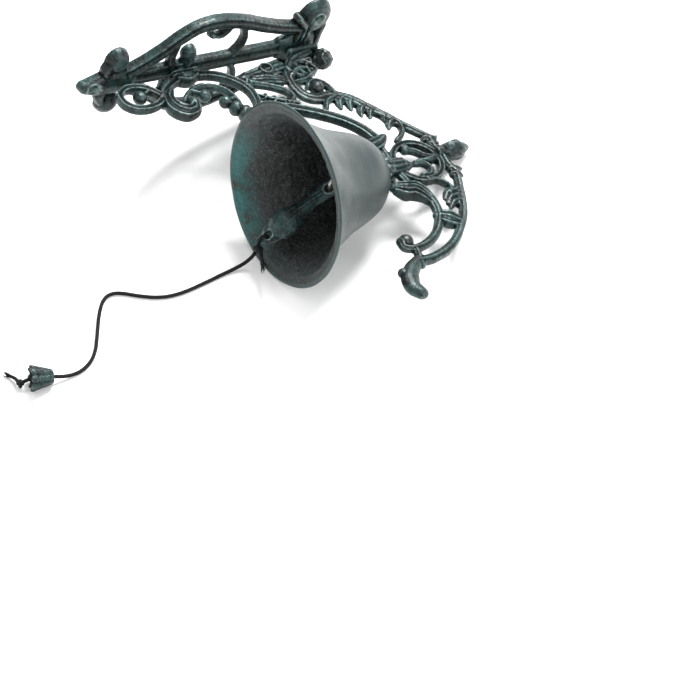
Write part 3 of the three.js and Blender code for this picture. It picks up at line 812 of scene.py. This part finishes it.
LEFT_CREST = [
    (113, 22.5), (104.4, 16), (96, 9.8), (86.5, 3.8), (79, -1.2), (71.8, -6.4), (64, -12.5),
    (58.8, -19.5), (56.4, -27.5), (56.2, -36.5), (52, -43.5), (44.5, -46), (36, -45.4),
    (27.5, -42.5), (20.5, -37), (15.5, -29.5), (12.5, -17),
]
LEFT_VOLUTE = [(58.5, -23), (51, -21.6), (44.2, -23.5), (40.3, -28), (41, -33.5), (44.3, -37)]
LEFT_ARCH = [
    (108, -18), (99.5, -19), (91.5, -22), (82.5, -28.5), (73.5, -38.5), (65.5, -50.5),
    (59.5, -61.5), (56, -72), (55, -84), (57, -95),
]
LOWER_SWEEP = [
    (55, -84), (46, -81), (36.5, -80.5), (27.5, -84.5), (19.5, -92.5), (14.5, -103), (13.5, -115),
    (15, -127), (20.5, -137.5), (28.5, -144),
]
INNER_SWEEP = [
    (54, -96.5), (43, -95), (33, -97), (26, -104.5), (24.5, -114.5), (27.5, -124), (33, -131),
]
EYE_STEM = [(20, -46), (23, -60), (25, -79)]
MIDDLE_ARCH = [(25, -80), (30, -75.5), (37, -63), (43.5, -55), (50.5, -53), (56, -60)]
FOOT_RING = [
    (26.5, -143.5), (32, -150.5), (33.5, -160), (31, -169), (24.5, -173.5), (17.8, -172.5),
    (13.5, -166.5), (13.5, -158), (17.4, -150.5), (24, -145.5),
]
SHOULDER = [(113, 21), (122, 19.5), (130.5, 20.5), (139, 19.5), (148, 21)]
RIGHT_CREST = [
    (146, 21.5), (159.5, 15), (172, 8.5), (183.5, 1), (193, -8.5), (201, -18.5), (207.3, -31),
    (210.3, -44.5), (210.5, -55), (216, -64), (226, -70.5),
]
RIGHT_SCROLL = [
    (153, -18.5), (160.5, -14), (168, -13), (176.5, -15.3), (185, -21.2), (192.5, -29.5),
    (197.8, -40.5), (199.2, -50.5), (196.5, -57.5), (190.5, -57.5),
]
SMALL_SCROLL = [(147.5, -4), (150.5, 4), (157.5, 8), (163.5, 4)]
BUD = [(147, -32), (151.5, -26), (153.5, -19.5), (160, -14.5), (168, -12.5)]
LEFT_BUD = [(114, -32), (109.5, -26), (107.5, -19.5), (104.5, -14), (101.5, -9.5)]
LEFT_CLAWS = [((61, -18.5), (69.5, -24.8)), ((63.5, -11.5), (72.5, -18)), ((72, -6.5), (80, -14.3)),
              ((77, -2), (83, -9)), ((84.5, 3.5), (88.8, -1)), ((90.5, 6), (96.4, -1.8))]
RIGHT_CLAWS = [((162, 10), (166, -2.5)), ((166.5, 9), (170.5, -3)), ((171, 8), (175, -3.5))]
CLAW_WIDTH = 7
FINIAL_X = BELL_X - 3


def bracket_bars(clay):
    """The long bars, and the ring over the bell."""
    clay.bar(LEFT_CREST, [6, 6.5, 7, 7, 7, 7.5, 8.5, 9, 9, 8.5, 8, 7.5, 7, 6.5, 6.5, 7, 8])
    clay.bar(LEFT_VOLUTE, [6, 5, 4.5, 4.2, 4, 3.5])
    clay.bar(LEFT_ARCH, [7, 7, 7, 7, 7, 6.5, 6, 6, 6, 6], 1.05, CHANNEL)
    clay.bar(LOWER_SWEEP, 5.5, 1, CHANNEL)
    clay.bar(INNER_SWEEP, [5, 4.5, 4, 4, 4, 4, 3.5])
    clay.bar(EYE_STEM, [9, 7, 6], 1.1)
    clay.bar(MIDDLE_ARCH, [6, 5.5, 5, 5, 4.5, 4.5])
    clay.bar(FOOT_RING, 4.8, 1, CHANNEL)
    clay.bar(SHOULDER, 6.5, 1.1)
    clay.bar(RIGHT_CREST, [6, 6, 6, 6, 6, 6.5, 7, 7, 7, 7.5, 8], 1.05)
    clay.bar(RIGHT_SCROLL, [8, 7.5, 7, 6.5, 6.5, 6.5, 6, 5.5, 5, 5], 1.05)
    clay.bar(SMALL_SCROLL, [4, 3.8, 3.5, 3], 1, ROUND)
    clay.bar([(201, -51), (207, -53), (213, -55)], [5, 5.5, 6])
    clay.bar([(32.5, -114.5), (27, -122)], 3.5, 1, ROUND)
    clay.bar([(23.5, -160.5), (19, -151)], 3.5, 1, ROUND)
    clay.bar([(106, -20), (118, -20), (130.5, -21), (143, -20), (155, -20)], 6)
    clay.bar(circle(BELL_X, RING_CENTRE_Z, RING_RADIUS, 25), 4.6, 1, CHANNEL)


def bracket_claws(clay):
    """The hooked leaves that hang inside both crests, on the webs they grow from."""
    clay.bar([(61, -22), (65.5, -14.5), (73.5, -8.5), (82, -1.5), (90, 4)], [3, 5, 5.5, 5, 3],
             0.9, ROUND)
    clay.bar([(160, 12), (167, 9), (174, 4)], [3, 4.5, 3], 0.9, ROUND)
    clay.bar([(59, -25), (61, -31.5), (67, -36)], [5, 4.8, 4.2])
    clay.bar([(93, 8), (99.5, 7), (105, 2.5), (108, -3)], [4.8, 4.5, 4.2, 4.2])
    for root, tip in LEFT_CLAWS + RIGHT_CLAWS:
        clay.claw(root, tip, CLAW_WIDTH)


def bracket_leaves(clay):
    """The rosette, the leaves and buds, the beads and the boot shaped end."""
    clay.swirled_ball(21.5, -9.5, 7.6, 7.4, 5)
    clay.frond([(32, -43), (28, -36), (28, -29), (31, -22)], 12, 8.5, 3)
    clay.bar([(24, -40), (20.5, -33), (22, -25), (31, -21)], [5, 4, 4, 2.4])
    clay.bar([(38, -43), (37.5, -35), (31, -21)], [5, 4.4, 2.4])
    clay.ribbed([(34, -51), (30, -61), (28, -71), (26, -80)], [8, 12, 11, 5], [6.5, 8, 7.5, 5.5], 4)
    clay.stroke(circle(22, -58.5, 4.4, 13), 2.8, 9.4)
    clay.blob(22, -58.5, 3.4, 3.4, 2.6)
    clay.frond([(57, -53), (52.5, -63), (47, -71), (40, -78)], 7.5, 6.5, 4)
    clay.frond([(24, -70), (28, -78), (38, -81)], 9, 7.5, 3)
    shell = [(22.5, -136), (29, -141), (38, -141), (43.8, -135.5), (42.8, -128.2), (37, -125)]
    clay.ribbed(shell, [6, 9, 12, 12.5, 10, 7], [7, 9, 10, 10, 9, 8], 3)
    for a, b, radius in (
            (46.3, -30.5, 5.4), (32.5, -114.5, 4.6), (22.5, -159.5, 5), (192, -53.5, 5.2),
            (215.5, -72, 3.8), (117.5, -3, 3.8), (143, -4.5, 2.8), (37, -125.5, 4.4)):
        clay.blob(a, b, radius, radius, radius * 0.95)
    clay.stroke([(41, -97), (42, -104)], [5, 5], 6.5)
    clay.blob(41.5, -103.5, 4.4, 4.2, 4.6)
    cuff = math.radians(35)
    clay.blob(49, -99, 5, 5.4, 5.6, cuff)
    clay.blob(54.5, -95.5, 4, 6, 5.8, cuff)
    clay.stroke([(44, -102), (58, -93)], [4, 6], 7)
    clay.blob(13.9, -118, 5.5, 9, 5.5)
    for a in (13.9, 17.9):
        clay.stroke([(a - 3, -110), (a, -118), (a - 3, -126)], [2, 3.4, 2], 10)
    clay.ribbed([(178.5, -17), (183, -11.5), (188, -5.5)], [9, 14, 10], [7, 9.5, 7.5], 3)
    clay.stroke([(209.5, -55.5), (214, -63.5), (220.5, -70), (228, -72.5), (234, -70)],
                [9, 11, 12.5, 12, 9.5], [7, 8.5, 9.5, 9.5, 8])
    clay.stroke([(222, -68), (215.5, -72)], [5, 4], 6)
    for points in ([(112, 18), (113.5, 25), (112.5, 28.5)], [(118, 19), (119, 23.5), (117.5, 26)],
                   [(143, 19), (144.5, 24.5), (145, 27.5)], [(148, 18), (149.5, 22.5), (151, 24)]):
        clay.stroke(points, [6, 5, 2], [7, 6, 3], RIDGE)
    clay.ribbed(BUD, [9, 14, 14, 11, 6], [8, 12, 12, 9, 6.5], 4)
    clay.ribbed(LEFT_BUD, [9, 12, 11, 8, 4], [8, 11, 10, 8, 5], 3)


def ring_filling(clay):
    """The curls and the fan leaf inside the bracket's ring."""
    clay.bar([(118, -3), (121, 2.5), (126.5, 7.5), (130, 14)], [4.5, 4.4, 4, 4.6])
    clay.bar([(130.5, -1), (131.5, 6), (130.5, 13.5)], [3.6, 5, 7], [1, 1.1, 1.2], ROUND)
    clay.bar([(131, -4), (133, 2.5), (138.5, 4.5), (143.5, 0.5), (142.5, -5)], [4, 4, 4, 4, 3.4])
    clay.ribbed([(130.5, -24), (130.5, -17), (131, -9)], [9, 15, 8], [8, 10, 6], 5)


def bracket_middle(clay):
    """The boss over the bell, the pads against the plate and the cone shaped bud on top."""
    boss = [(11.8, CROWN_Z + 0.5), (12, -32), (10, -28), (7.5, -23), (6.5, -14), (4, -11)]
    clay.turned(boss, BELL_X, 12, 0.12)
    for turn in around(8):
        clay.ball(BELL_X + 8.5 * math.cos(turn), 8.5 * math.sin(turn), -30, (3.4, 3.4, 3.8))
    clay.stroke([(10.5, -31), (10.5, -9)], 5, 10)
    clay.stroke([(11, -127), (11, -109)], 4.6, 11, CHANNEL)
    bud = [(3, 17), (5.2, 18), (4.8, 21.5), (6.2, 26), (7, 31), (6.4, 36.5), (4.3, 41.5), (2, 45.3),
           (0.6, 46.8)]
    clay.turned(bud, FINIAL_X, 7, 0.05)
    for hand in (-1, 1):
        clay.ball(FINIAL_X + hand * 4.8, 0, 21.5, (3.2, 3, 3))
        clay.ball(FINIAL_X, hand * 5, 27.5, (3.8, 2.7, 4.4))
        clay.ball(FINIAL_X, hand * 7.3, 27.3, (1.8, 1.3, 2.1))
        for lean in (-3.6, 3.6):
            clay.ball(FINIAL_X + lean, hand * 2.6, 35, (2.9, 2.9, 5.2))


def make_bracket(iron):
    clay = Clay(ARM_PLANE, two_sided)
    for part in (bracket_bars, bracket_claws, bracket_leaves, ring_filling, bracket_middle):
        part(clay)
    obj = melt(clay, "bracket_casting", 0.6)
    roughen(obj, ((7, 0.14), (2.2, 0.08), (1.0, 0.09)))
    mark_edges(obj)
    place(obj, CASTING, "casting", IRON, [iron], "bracket_arm")


# ---------------- bell

BELL_OUTSIDE = [
    (12, CROWN_Z), (17, -37.4), (22.3, -41.8), (26.6, -46.8), (29.8, -53), (32.9, -62), (36.7, -74),
    (42, -86), (48.3, -97), (55, -105.5), (60.3, -110.3), (MOUTH_RADIUS, MOUTH_Z),
]
BELL_HOLE = 3.2
BELL_SEAT = 7
LIP_ROUNDING = 0.9
BELL_SEGMENTS = 288
TEAL_SIDE = math.radians(140)


def make_bell(outside, inside):
    outer, _ = spline(BELL_OUTSIDE, 1.0)
    along = unit(np.gradient(outer, axis=0))
    inner = outer + np.column_stack([along[:, 1], -along[:, 0]]) * BELL_WALL
    thin = MOUTH_RADIUS - BELL_WALL
    lip = [(MOUTH_RADIUS - 0.1, MOUTH_Z + LIP_ROUNDING), (MOUTH_RADIUS - 0.4, MOUTH_Z + 0.25),
           (MOUTH_RADIUS - 1, MOUTH_Z), (thin + 0.9, MOUTH_Z), (thin + 0.2, MOUTH_Z + 0.3),
           (thin - 0.4, MOUTH_Z + 1)]
    crown, ceiling = [[(BELL_HOLE, z), (BELL_SEAT, z)] for z in (CROWN_Z, CROWN_Z - BELL_WALL)]
    keep_outer = outer[outer[:, 1] > MOUTH_Z + LIP_ROUNDING + 0.3]
    keep_inner = inner[(inner[:, 1] > MOUTH_Z + 1.6) & (inner[:, 1] < CROWN_Z - BELL_WALL)][::-1]
    profile = np.vstack([crown, keep_outer, lip, keep_inner, ceiling[::-1]])
    angle = around(BELL_SEGMENTS)
    rings = np.dstack([
        BELL_X + profile[:, :1] * np.cos(angle), profile[:, :1] * np.sin(angle),
        profile[:, 1:] + 0 * angle])
    obj = grid_object("bell_casting", rings[::-1], closed_rows=True, unwrap=True)
    mesh = obj.data
    first_inner = len(crown) + len(keep_outer) + len(lip) // 2
    is_inner = np.repeat(np.arange(len(profile))[::-1] >= first_inner, BELL_SEGMENTS)
    places = positions(mesh)
    rough = 0.34 * grain(places, 2.4, 1) + 0.22 * grain(places, 1.2, 2) + 0.3 * grain(places, 9, 3)
    calm = 0.3 * grain(places, 14, 4) + 0.05 * grain(places, 1.5, 5)
    push = np.where(is_inner, rough, calm)
    set_positions(mesh, places + normals(mesh) * push[:, None])
    depth = (places[:, 2] - MOUTH_Z) / 45
    near_lip = np.clip(1 - depth, 0, 1)
    turned = np.arctan2(places[:, 1], places[:, 0] - BELL_X) - TEAL_SIDE
    teal = np.clip((near_lip - 0.72) / 0.2, 0, 1) * np.clip(3 * np.cos(turned) - 1.7, 0.08, 1)
    store(mesh, "near_lip", near_lip)
    store(mesh, "teal", teal)
    mark_edges(obj, 2, 0.12)
    place(obj, CASTING, "casting", BELL, [outside, inside], "bell_shell")
    for face in mesh.polygons:
        face.material_index = int(all(is_inner[i] for i in face.vertices))


# ---------------- bolt, nut and screws

def lathe_rings(profile, segments, shape=None):
    """Rings about z; shape(angle, radius, z) may change each ring's radius."""
    angle = around(segments)
    rings = []
    for radius, z in profile:
        radii = np.full(segments, float(radius)) if shape is None else shape(angle, radius, z)
        rings.append(np.column_stack([radii * np.cos(angle), radii * np.sin(angle), 0 * angle + z]))
    return np.array(rings)


THREAD_PITCH = 0.8
THREAD_DEPTH = 0.35
BORE_INSIDE = 2.9
NUT_FLATS = 8.6
SLOT_REACH = 2.1
SLOT_HALF_WIDTH = 0.42


def threaded(angle, radius, z):
    wave = (z / THREAD_PITCH - angle / (2 * math.pi)) % 1
    return radius - THREAD_DEPTH * np.abs(2 * wave - 1)


def place_steel(obj, matrix, node, steel, rounds=2):
    mark_edges(obj, rounds, 0.3)
    place(obj, CASTING @ matrix, "casting", STEEL, [steel], node)


def make_eye_bolt(steel):
    heights = np.arange(EYE_Z + EYE_RADIUS - 0.5, BOLT_TOP_Z, THREAD_PITCH / 6)
    shank = lathe_rings([(BOLT_RADIUS, z) for z in heights], 32, threaded)
    body = grid_object("eye_bolt_shank", shank)
    turn = around(64)[:, None]
    section = around(20)[None]
    reach = EYE_RADIUS + EYE_WIRE * np.cos(section)
    eye = np.dstack([
        EYE_WIRE * np.sin(section) + 0 * turn, reach * np.cos(turn), EYE_Z + reach * np.sin(turn)])
    ring = grid_object("eye_bolt_ring", eye, closed_rows=True)
    for obj in (body, ring):
        place_steel(obj, Matrix.Translation((BELL_X, 0, 0)), "eye_bolt", steel)


def hexagon(angle, radius, _z):
    corner = np.radians(60)
    return np.minimum(NUT_FLATS / 2 / np.cos((angle % corner) - corner / 2), radius)


def make_nut_and_washer(steel):
    under = CROWN_Z - BELL_WALL
    for name, node, top, height, outer, bevel, bevel_height, segments, shape in (
            ("bolt_nut", "crown_nut", under - 1.8, 4, 5.0, 0.6, 0.5, 96, hexagon),
            ("bolt_washer", "crown_washer", under - 0.3, 1.2, 7.5, 0.3, 0.3, 72, None)):
        low = top - height
        profile = [(BORE_INSIDE, low), (outer - bevel, low), (outer, low + bevel_height),
                   (outer, top - bevel_height), (outer - bevel, top), (BORE_INSIDE, top)]
        obj = grid_object(name, lathe_rings(profile, segments, shape)[::-1], closed_rows=True)
        place_steel(obj, Matrix.Translation((BELL_X, 0, 0)), node, steel)


def make_screw(name, z, node, steel):
    """A round head screw with a cross recess, its head in the plate's back."""
    profile = [(0.05, 0.3), (1.6, 0.34), (2.8, 0.5), (3.6, 0.85), (4, 1.3), (3.4, 1.9), (2.2, 2.5)]
    heights = np.arange(2.7, SCREW_LENGTH - 0.4, THREAD_PITCH / 5)
    profile += [(SCREW_SHANK_RADIUS, h) for h in heights]
    profile += [(SCREW_SHANK_RADIUS - 0.5, SCREW_LENGTH), (0.05, SCREW_LENGTH)]

    def shape(angle, radius, height):
        on_thread = height > 2.6 and radius > 1.9
        return threaded(angle, radius, height) if on_thread else 0 * angle + radius

    obj = grid_object(name, lathe_rings(profile, 40, shape)[::-1])
    slots = []
    for turn in (math.radians(22), math.radians(112)):
        along = np.array([math.cos(turn), math.sin(turn)])
        side = np.array([-along[1], along[0]])
        corners = [along * a * SLOT_REACH + side * b * SLOT_HALF_WIDTH
                   for a, b in ((-1, -1), (1, -1), (1, 1), (-1, 1))]
        slots.append(np.array([[(*(corner * share), height) for corner in corners]
                               for height, share in ((-1, 1), (0.9, 1), (1.5, 0.5))]))
    bore(obj, slots)
    upright = Matrix.Rotation(math.pi / 2, 4, "Y")
    place_steel(obj, Matrix.Translation((0, 0, z)) @ upright, node, steel, rounds=1)


# ---------------- clapper

def hole_rings(z, radius):
    """The rings of a cutter along y through the clapper's sheet."""
    angle = around(32)
    return np.array([
        np.column_stack([radius * np.cos(angle), 0 * angle + y, z - radius * np.sin(angle)])
        for y in (-10, 10)])


def make_clapper(iron):
    """A flattened drop with a ridge down its middle and a hole at each end."""
    clay = Clay(ARM_PLANE, two_sided)
    for heights, widths, depths in (
            ((-3, -7.4, -13, -21, -30, -40, -50, -58, -61.5),
             [11, 13, 11, 9.5, 12, 17, 18, 14, 9], 3.6),
            ((-14, -24, -33, -42, -50, -55), [5, 8, 15, 21, 20, 12],
             [3.6, 5.4, 8.5, 11.4, 10.6, 5.5]),
            ((-12, -24, -40, -53), [2.2, 2.4, 2.8, 1.8], [4.4, 6.8, 11.4, 6])):
        clay.stroke([(0, height) for height in heights], widths, depths)
    obj = melt(clay, "clapper_casting", 0.45)
    roughen(obj, ((6, 0.15), (2, 0.08), (0.9, 0.07)))
    bore(obj, [hole_rings(-CLAPPER_TOP_HOLE, 3.6), hole_rings(-CLAPPER_LOW_HOLE, 3.2)])
    mark_edges(obj)
    place(obj, HANGING, "clapper", IRON, [iron], "clapper")


# ---------------- cord and knots

BRAID_PICKS = 6
BRAID_PITCH = 1.9
BRAID_HEIGHT = 0.07
BRAID_STEP = 0.3
CORD_SIDES = 36


def braid(name, points, radius, closed=False, taper=None):
    """A braided cord along a smooth line: strands stand out in a diamond pattern."""
    line, share = spline(points, BRAID_STEP, closed)
    if closed:
        along = unit(np.roll(line, -1, 0) - np.roll(line, 1, 0))
    else:
        along = unit(np.gradient(line, axis=0))
    side = np.empty_like(line)
    start = np.cross(along[0], (0, 0, 1.0) if abs(along[0][2]) < 0.9 else (1.0, 0, 0))
    side[0] = start / np.linalg.norm(start)
    for index in range(1, len(line)):
        carried = side[index - 1] - along[index] * side[index - 1].dot(along[index])
        side[index] = carried / np.linalg.norm(carried)
    other = np.cross(along, side)
    steps = np.linalg.norm(np.diff(line, axis=0), axis=1)
    travelled = np.concatenate([[0], np.cumsum(steps)])[:, None]
    angle = around(CORD_SIDES)[None]
    weave = np.cos(BRAID_PICKS * angle) * np.cos(2 * math.pi * travelled / BRAID_PITCH)
    radii = radius - BRAID_HEIGHT + BRAID_HEIGHT * weave
    radii = radii * along_line(share, taper or 1.0)[:, None]
    rings = line[:, None] + side[:, None] * (radii * np.cos(angle))[..., None]
    rings += other[:, None] * (radii * np.sin(angle))[..., None]
    obj = grid_object(name, rings, closed_rows=closed)
    mark_edges(obj, 2, 0.12)
    return obj


def knot_points(centre, size, turn):
    """A closed overhand knot pulled tight about its centre."""
    points = []
    for t in around(24):
        point = Vector((math.sin(t) + 2 * math.sin(2 * t), math.cos(t) - 2 * math.cos(2 * t),
                        -1.3 * math.sin(3 * t)))
        points.append(tuple(Vector(centre) + turn @ (point * (size / 3))))
    return points


def join(objects, name):
    """Joins whole shells into the first object's mesh."""
    with bpy.context.temp_override(active_object=objects[0], selected_editable_objects=objects):
        bpy.ops.object.join()
    objects[0].name = name
    return objects[0]


def frayed(name, start, end, radius, count, seed):
    """Loose fibres that part towards a cut end."""
    random = np.random.default_rng(seed)
    start, end = np.array(start, float), np.array(end, float)
    parts = []
    for index in range(count):
        spread = random.normal(0, 1, 3) * radius
        begin = start + random.normal(0, 0.35, 3) * radius
        middle = (start + end) / 2 + spread * 0.5
        tip = end + spread * (0.7, 0.7, 0.35) + (end - start) * random.uniform(-0.15, 0.15)
        points = [begin, middle, tip]
        parts.append(braid(f"{name}_{index}", points, radius * 0.34, taper=[1, 0.9, 0.35]))
    return parts


def loose_end(name, start, near, sag, end, fray_start, fibres, seed):
    """A short cord that sags to its middle and ends in loose fibres."""
    points = [start, (start + near) / 2 + sag, near]
    parts = [braid(name, points, CORD_RADIUS * 0.95, taper=[1, 1, 0.9])]
    return join(parts + frayed(name, fray_start, end, CORD_RADIUS, fibres, seed), name)


def make_tie(cord):
    """The loop through the clapper's low hole, its knot and its two tails."""
    low = 1.2 - CLAPPER_TIP
    loop = [(0, TIE_LOOP_RADIUS * math.cos(t), low + TIE_LOOP_RADIUS * math.sin(t))
            for t in around(16)]
    turn = Matrix.Rotation(math.radians(35), 3, "X") @ Matrix.Rotation(math.radians(20), 3, "Y")
    wrap = knot_points(TIE_KNOT, TIE_KNOT_RADIUS - 1.7, turn)
    knot = join([braid("tie_knot_cord", loop, CORD_RADIUS - 0.1, closed=True),
                 braid("tie_knot_wrap", wrap, CORD_RADIUS, closed=True)], "tie_knot_cord")
    place(knot, HANGING, "clapper", CORD, [cord], "tie_knot")
    x, y, z = TIE_KNOT
    for node, end, aside, seed in (("tie_tail_long", (21, -4.5, -73), -1.4, 5),
                                   ("tie_tail_short", (17.5, 1.5, -75), 1.7, 6)):
        start = np.array((x + 2.6, y + aside, z))
        toward = np.array(end) - start
        near = start + toward * 0.72
        tail = loose_end(node + "_cord", start, near, (0, 1.2, -0.5), end, near - toward * 0.05,
                         9, seed)
        place(tail, HANGING, "clapper", CORD, [cord], node)


def make_pull(iron):
    """The fluted cone on the cord, hollow at its wide end."""
    profile = [(0.6, 4.2), (4.2, 3.4), (6.2, 1), (7.3, 0.2), (8.1, 0), (8.6, 0.5), (8.7, 1.2),
               (8.4, 3), (7.8, 5), (7.1, 7.5), (6.4, 10), (5.6, 12.6), (5, 14.2), (4.4, 15.2),
               (3.4, 15.5), (1.6, 15.5), (1.4, 14.8)]
    fine, _ = spline(profile, 0.5)

    def shape(angle, radius, height):
        share = np.clip(height / PULL_HEIGHT, 0, 1)
        wave = 0.5 - 0.5 * np.cos(PULL_FLUTES * angle)
        return radius * (1 - (0.16 - 0.07 * share) * wave**1.5)

    rings = lathe_rings(fine, PULL_SEGMENTS, shape)
    scallop = 1.3 * (0.5 - 0.5 * np.cos(PULL_FLUTES * around(PULL_SEGMENTS)))
    rings[..., 2] += scallop[None] * np.clip(1 - rings[..., 2] / 5, 0, 1)
    obj = grid_object("pull_casting", rings)
    roughen(obj, ((3, 0.2), (1.2, 0.12)))
    mark_edges(obj, 4, 0.3)
    lean = math.atan2(PULL_WIDE - PULL_NARROW, PULL_HEIGHT)
    turn = Matrix.Rotation(PULL_HEADING, 4, "Z") @ Matrix.Rotation(math.pi / 2 + lean, 4, "Y")
    foot = Matrix.Translation((PULL_FOOT[0] * MM, PULL_FOOT[1] * MM, 0))
    matrix = foot @ turn @ Matrix.Scale(MM, 4)
    obj.data.transform(matrix)
    low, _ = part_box("cord_pull")
    drop = Matrix.Translation((0, 0, low.z - min(v.co.z for v in obj.data.vertices)))
    place(obj, drop, "cord", IRON, [iron], "cord_pull")
    return obj, drop @ matrix


def make_cord(cord, pull_place):
    """The pull cord, its end knot and frayed tip."""
    def on_pull(height):
        return tuple(pull_place @ Vector((0, 0, height)) / MM)

    route = CORD_ROUTE + [on_pull(PULL_HEIGHT + 0.3)]
    line = braid("pull_cord_braid", route, CORD_RADIUS)
    neck_top = on_pull(3.6)
    middle = tuple((a + b) / 2 + c for a, b, c in zip(neck_top, END_KNOT, (0, 0, 0.8)))
    turn = Matrix.Rotation(math.radians(65), 3, "X") @ Matrix.Rotation(math.radians(30), 3, "Z")
    wrap = knot_points(END_KNOT, END_KNOT_RADIUS - 1.15, turn)
    knot = join([braid("end_knot_cord", [neck_top, middle, END_KNOT], CORD_RADIUS),
                 braid("end_knot_wrap", wrap, CORD_RADIUS * 0.9, closed=True)], "end_knot_cord")
    toward = np.array(CORD_TIP) - np.array(END_KNOT)
    near = np.array(END_KNOT) + toward * 0.66 + (0, 0.6, 0)
    tip = loose_end("cord_tip_braid", np.array(END_KNOT) + toward * 0.15, near, (0, 0.6, 0),
                    CORD_TIP, near - toward * 0.04, 12, 7)
    for obj, node in ((line, "pull_cord"), (knot, "end_knot"), (tip, "cord_tip")):
        place(obj, TABLE, "cord", CORD, [cord], node)
    path, _ = spline(route, 2.0)


# ---------------- studio

FLOOR_REACH = 4
LIGHT_SIZE = 0.8
LIGHTS = (("key", (-0.5, 0.9, 1.5), 62), ("fill", (1.4, 0.6, 1.1), 16))


def make_studio():
    """A plain pale floor, two soft lights and a pale world."""
    paint = Paint("floor", roughness=0.7)
    cloud = paint.noise(400, 2)
    floor_paint = paint.finish(paint.mix(cloud, (0.86, 0.86, 0.86), (0.9, 0.9, 0.9)))
    mesh = bpy.data.meshes.new("floor")
    corners = [(a * FLOOR_REACH, b * FLOOR_REACH, 0)
               for a, b in ((-1, -1), (1, -1), (1, 1), (-1, 1))]
    mesh.from_pydata(corners, [], [(0, 1, 2, 3)])
    mesh.materials.append(floor_paint)
    link("floor", mesh)
    world = bpy.data.worlds.new("studio")
    world.use_nodes = True
    background = world.node_tree.nodes["Background"]
    background.inputs["Color"].default_value = (1, 1, 1, 1)
    background.inputs["Strength"].default_value = 0.98
    bpy.context.scene.world = world
    bpy.context.scene.view_settings.view_transform = "Standard"
    for name, spot, power in LIGHTS:
        data = bpy.data.lights.new(name, "AREA")
        data.shape = "DISK"
        data.size = LIGHT_SIZE
        data.energy = power
        light = bpy.data.objects.new(name, data)
        toward = Vector((0, 0, 0.03)) - Vector(spot)
        turn = toward.to_track_quat("-Z", "Y").to_matrix().to_4x4()
        light.matrix_world = Matrix.Translation(spot) @ turn
        bpy.context.collection.objects.link(light)


def build():
    make_camera()
    iron = verdigris("verdigris_iron")
    steel = dull_steel()
    cord = black_cord()
    pull, pull_place = make_pull(iron)
    make_cord(cord, pull_place)
    make_tie(cord)
    make_plate(iron, bare_back())
    make_bracket(iron)
    make_bell(bell_outside(), bell_inside())
    make_eye_bolt(steel)
    make_nut_and_washer(steel)
    for level, z in zip(("upper", "lower"), PLATE_SCREWS_Z):
        make_screw(f"{level}_screw", z, f"{level}_plate_screw", steel)
    # The clapper's iron takes paler greens than the rest to make up for the shade inside the bell:
    # painted light.
    make_clapper(verdigris("clapper_iron_painted_light", DARK_IRON, (0.034, 0.075, 0.071), (0.16, 0.24, 0.23)))
    make_studio()


build()
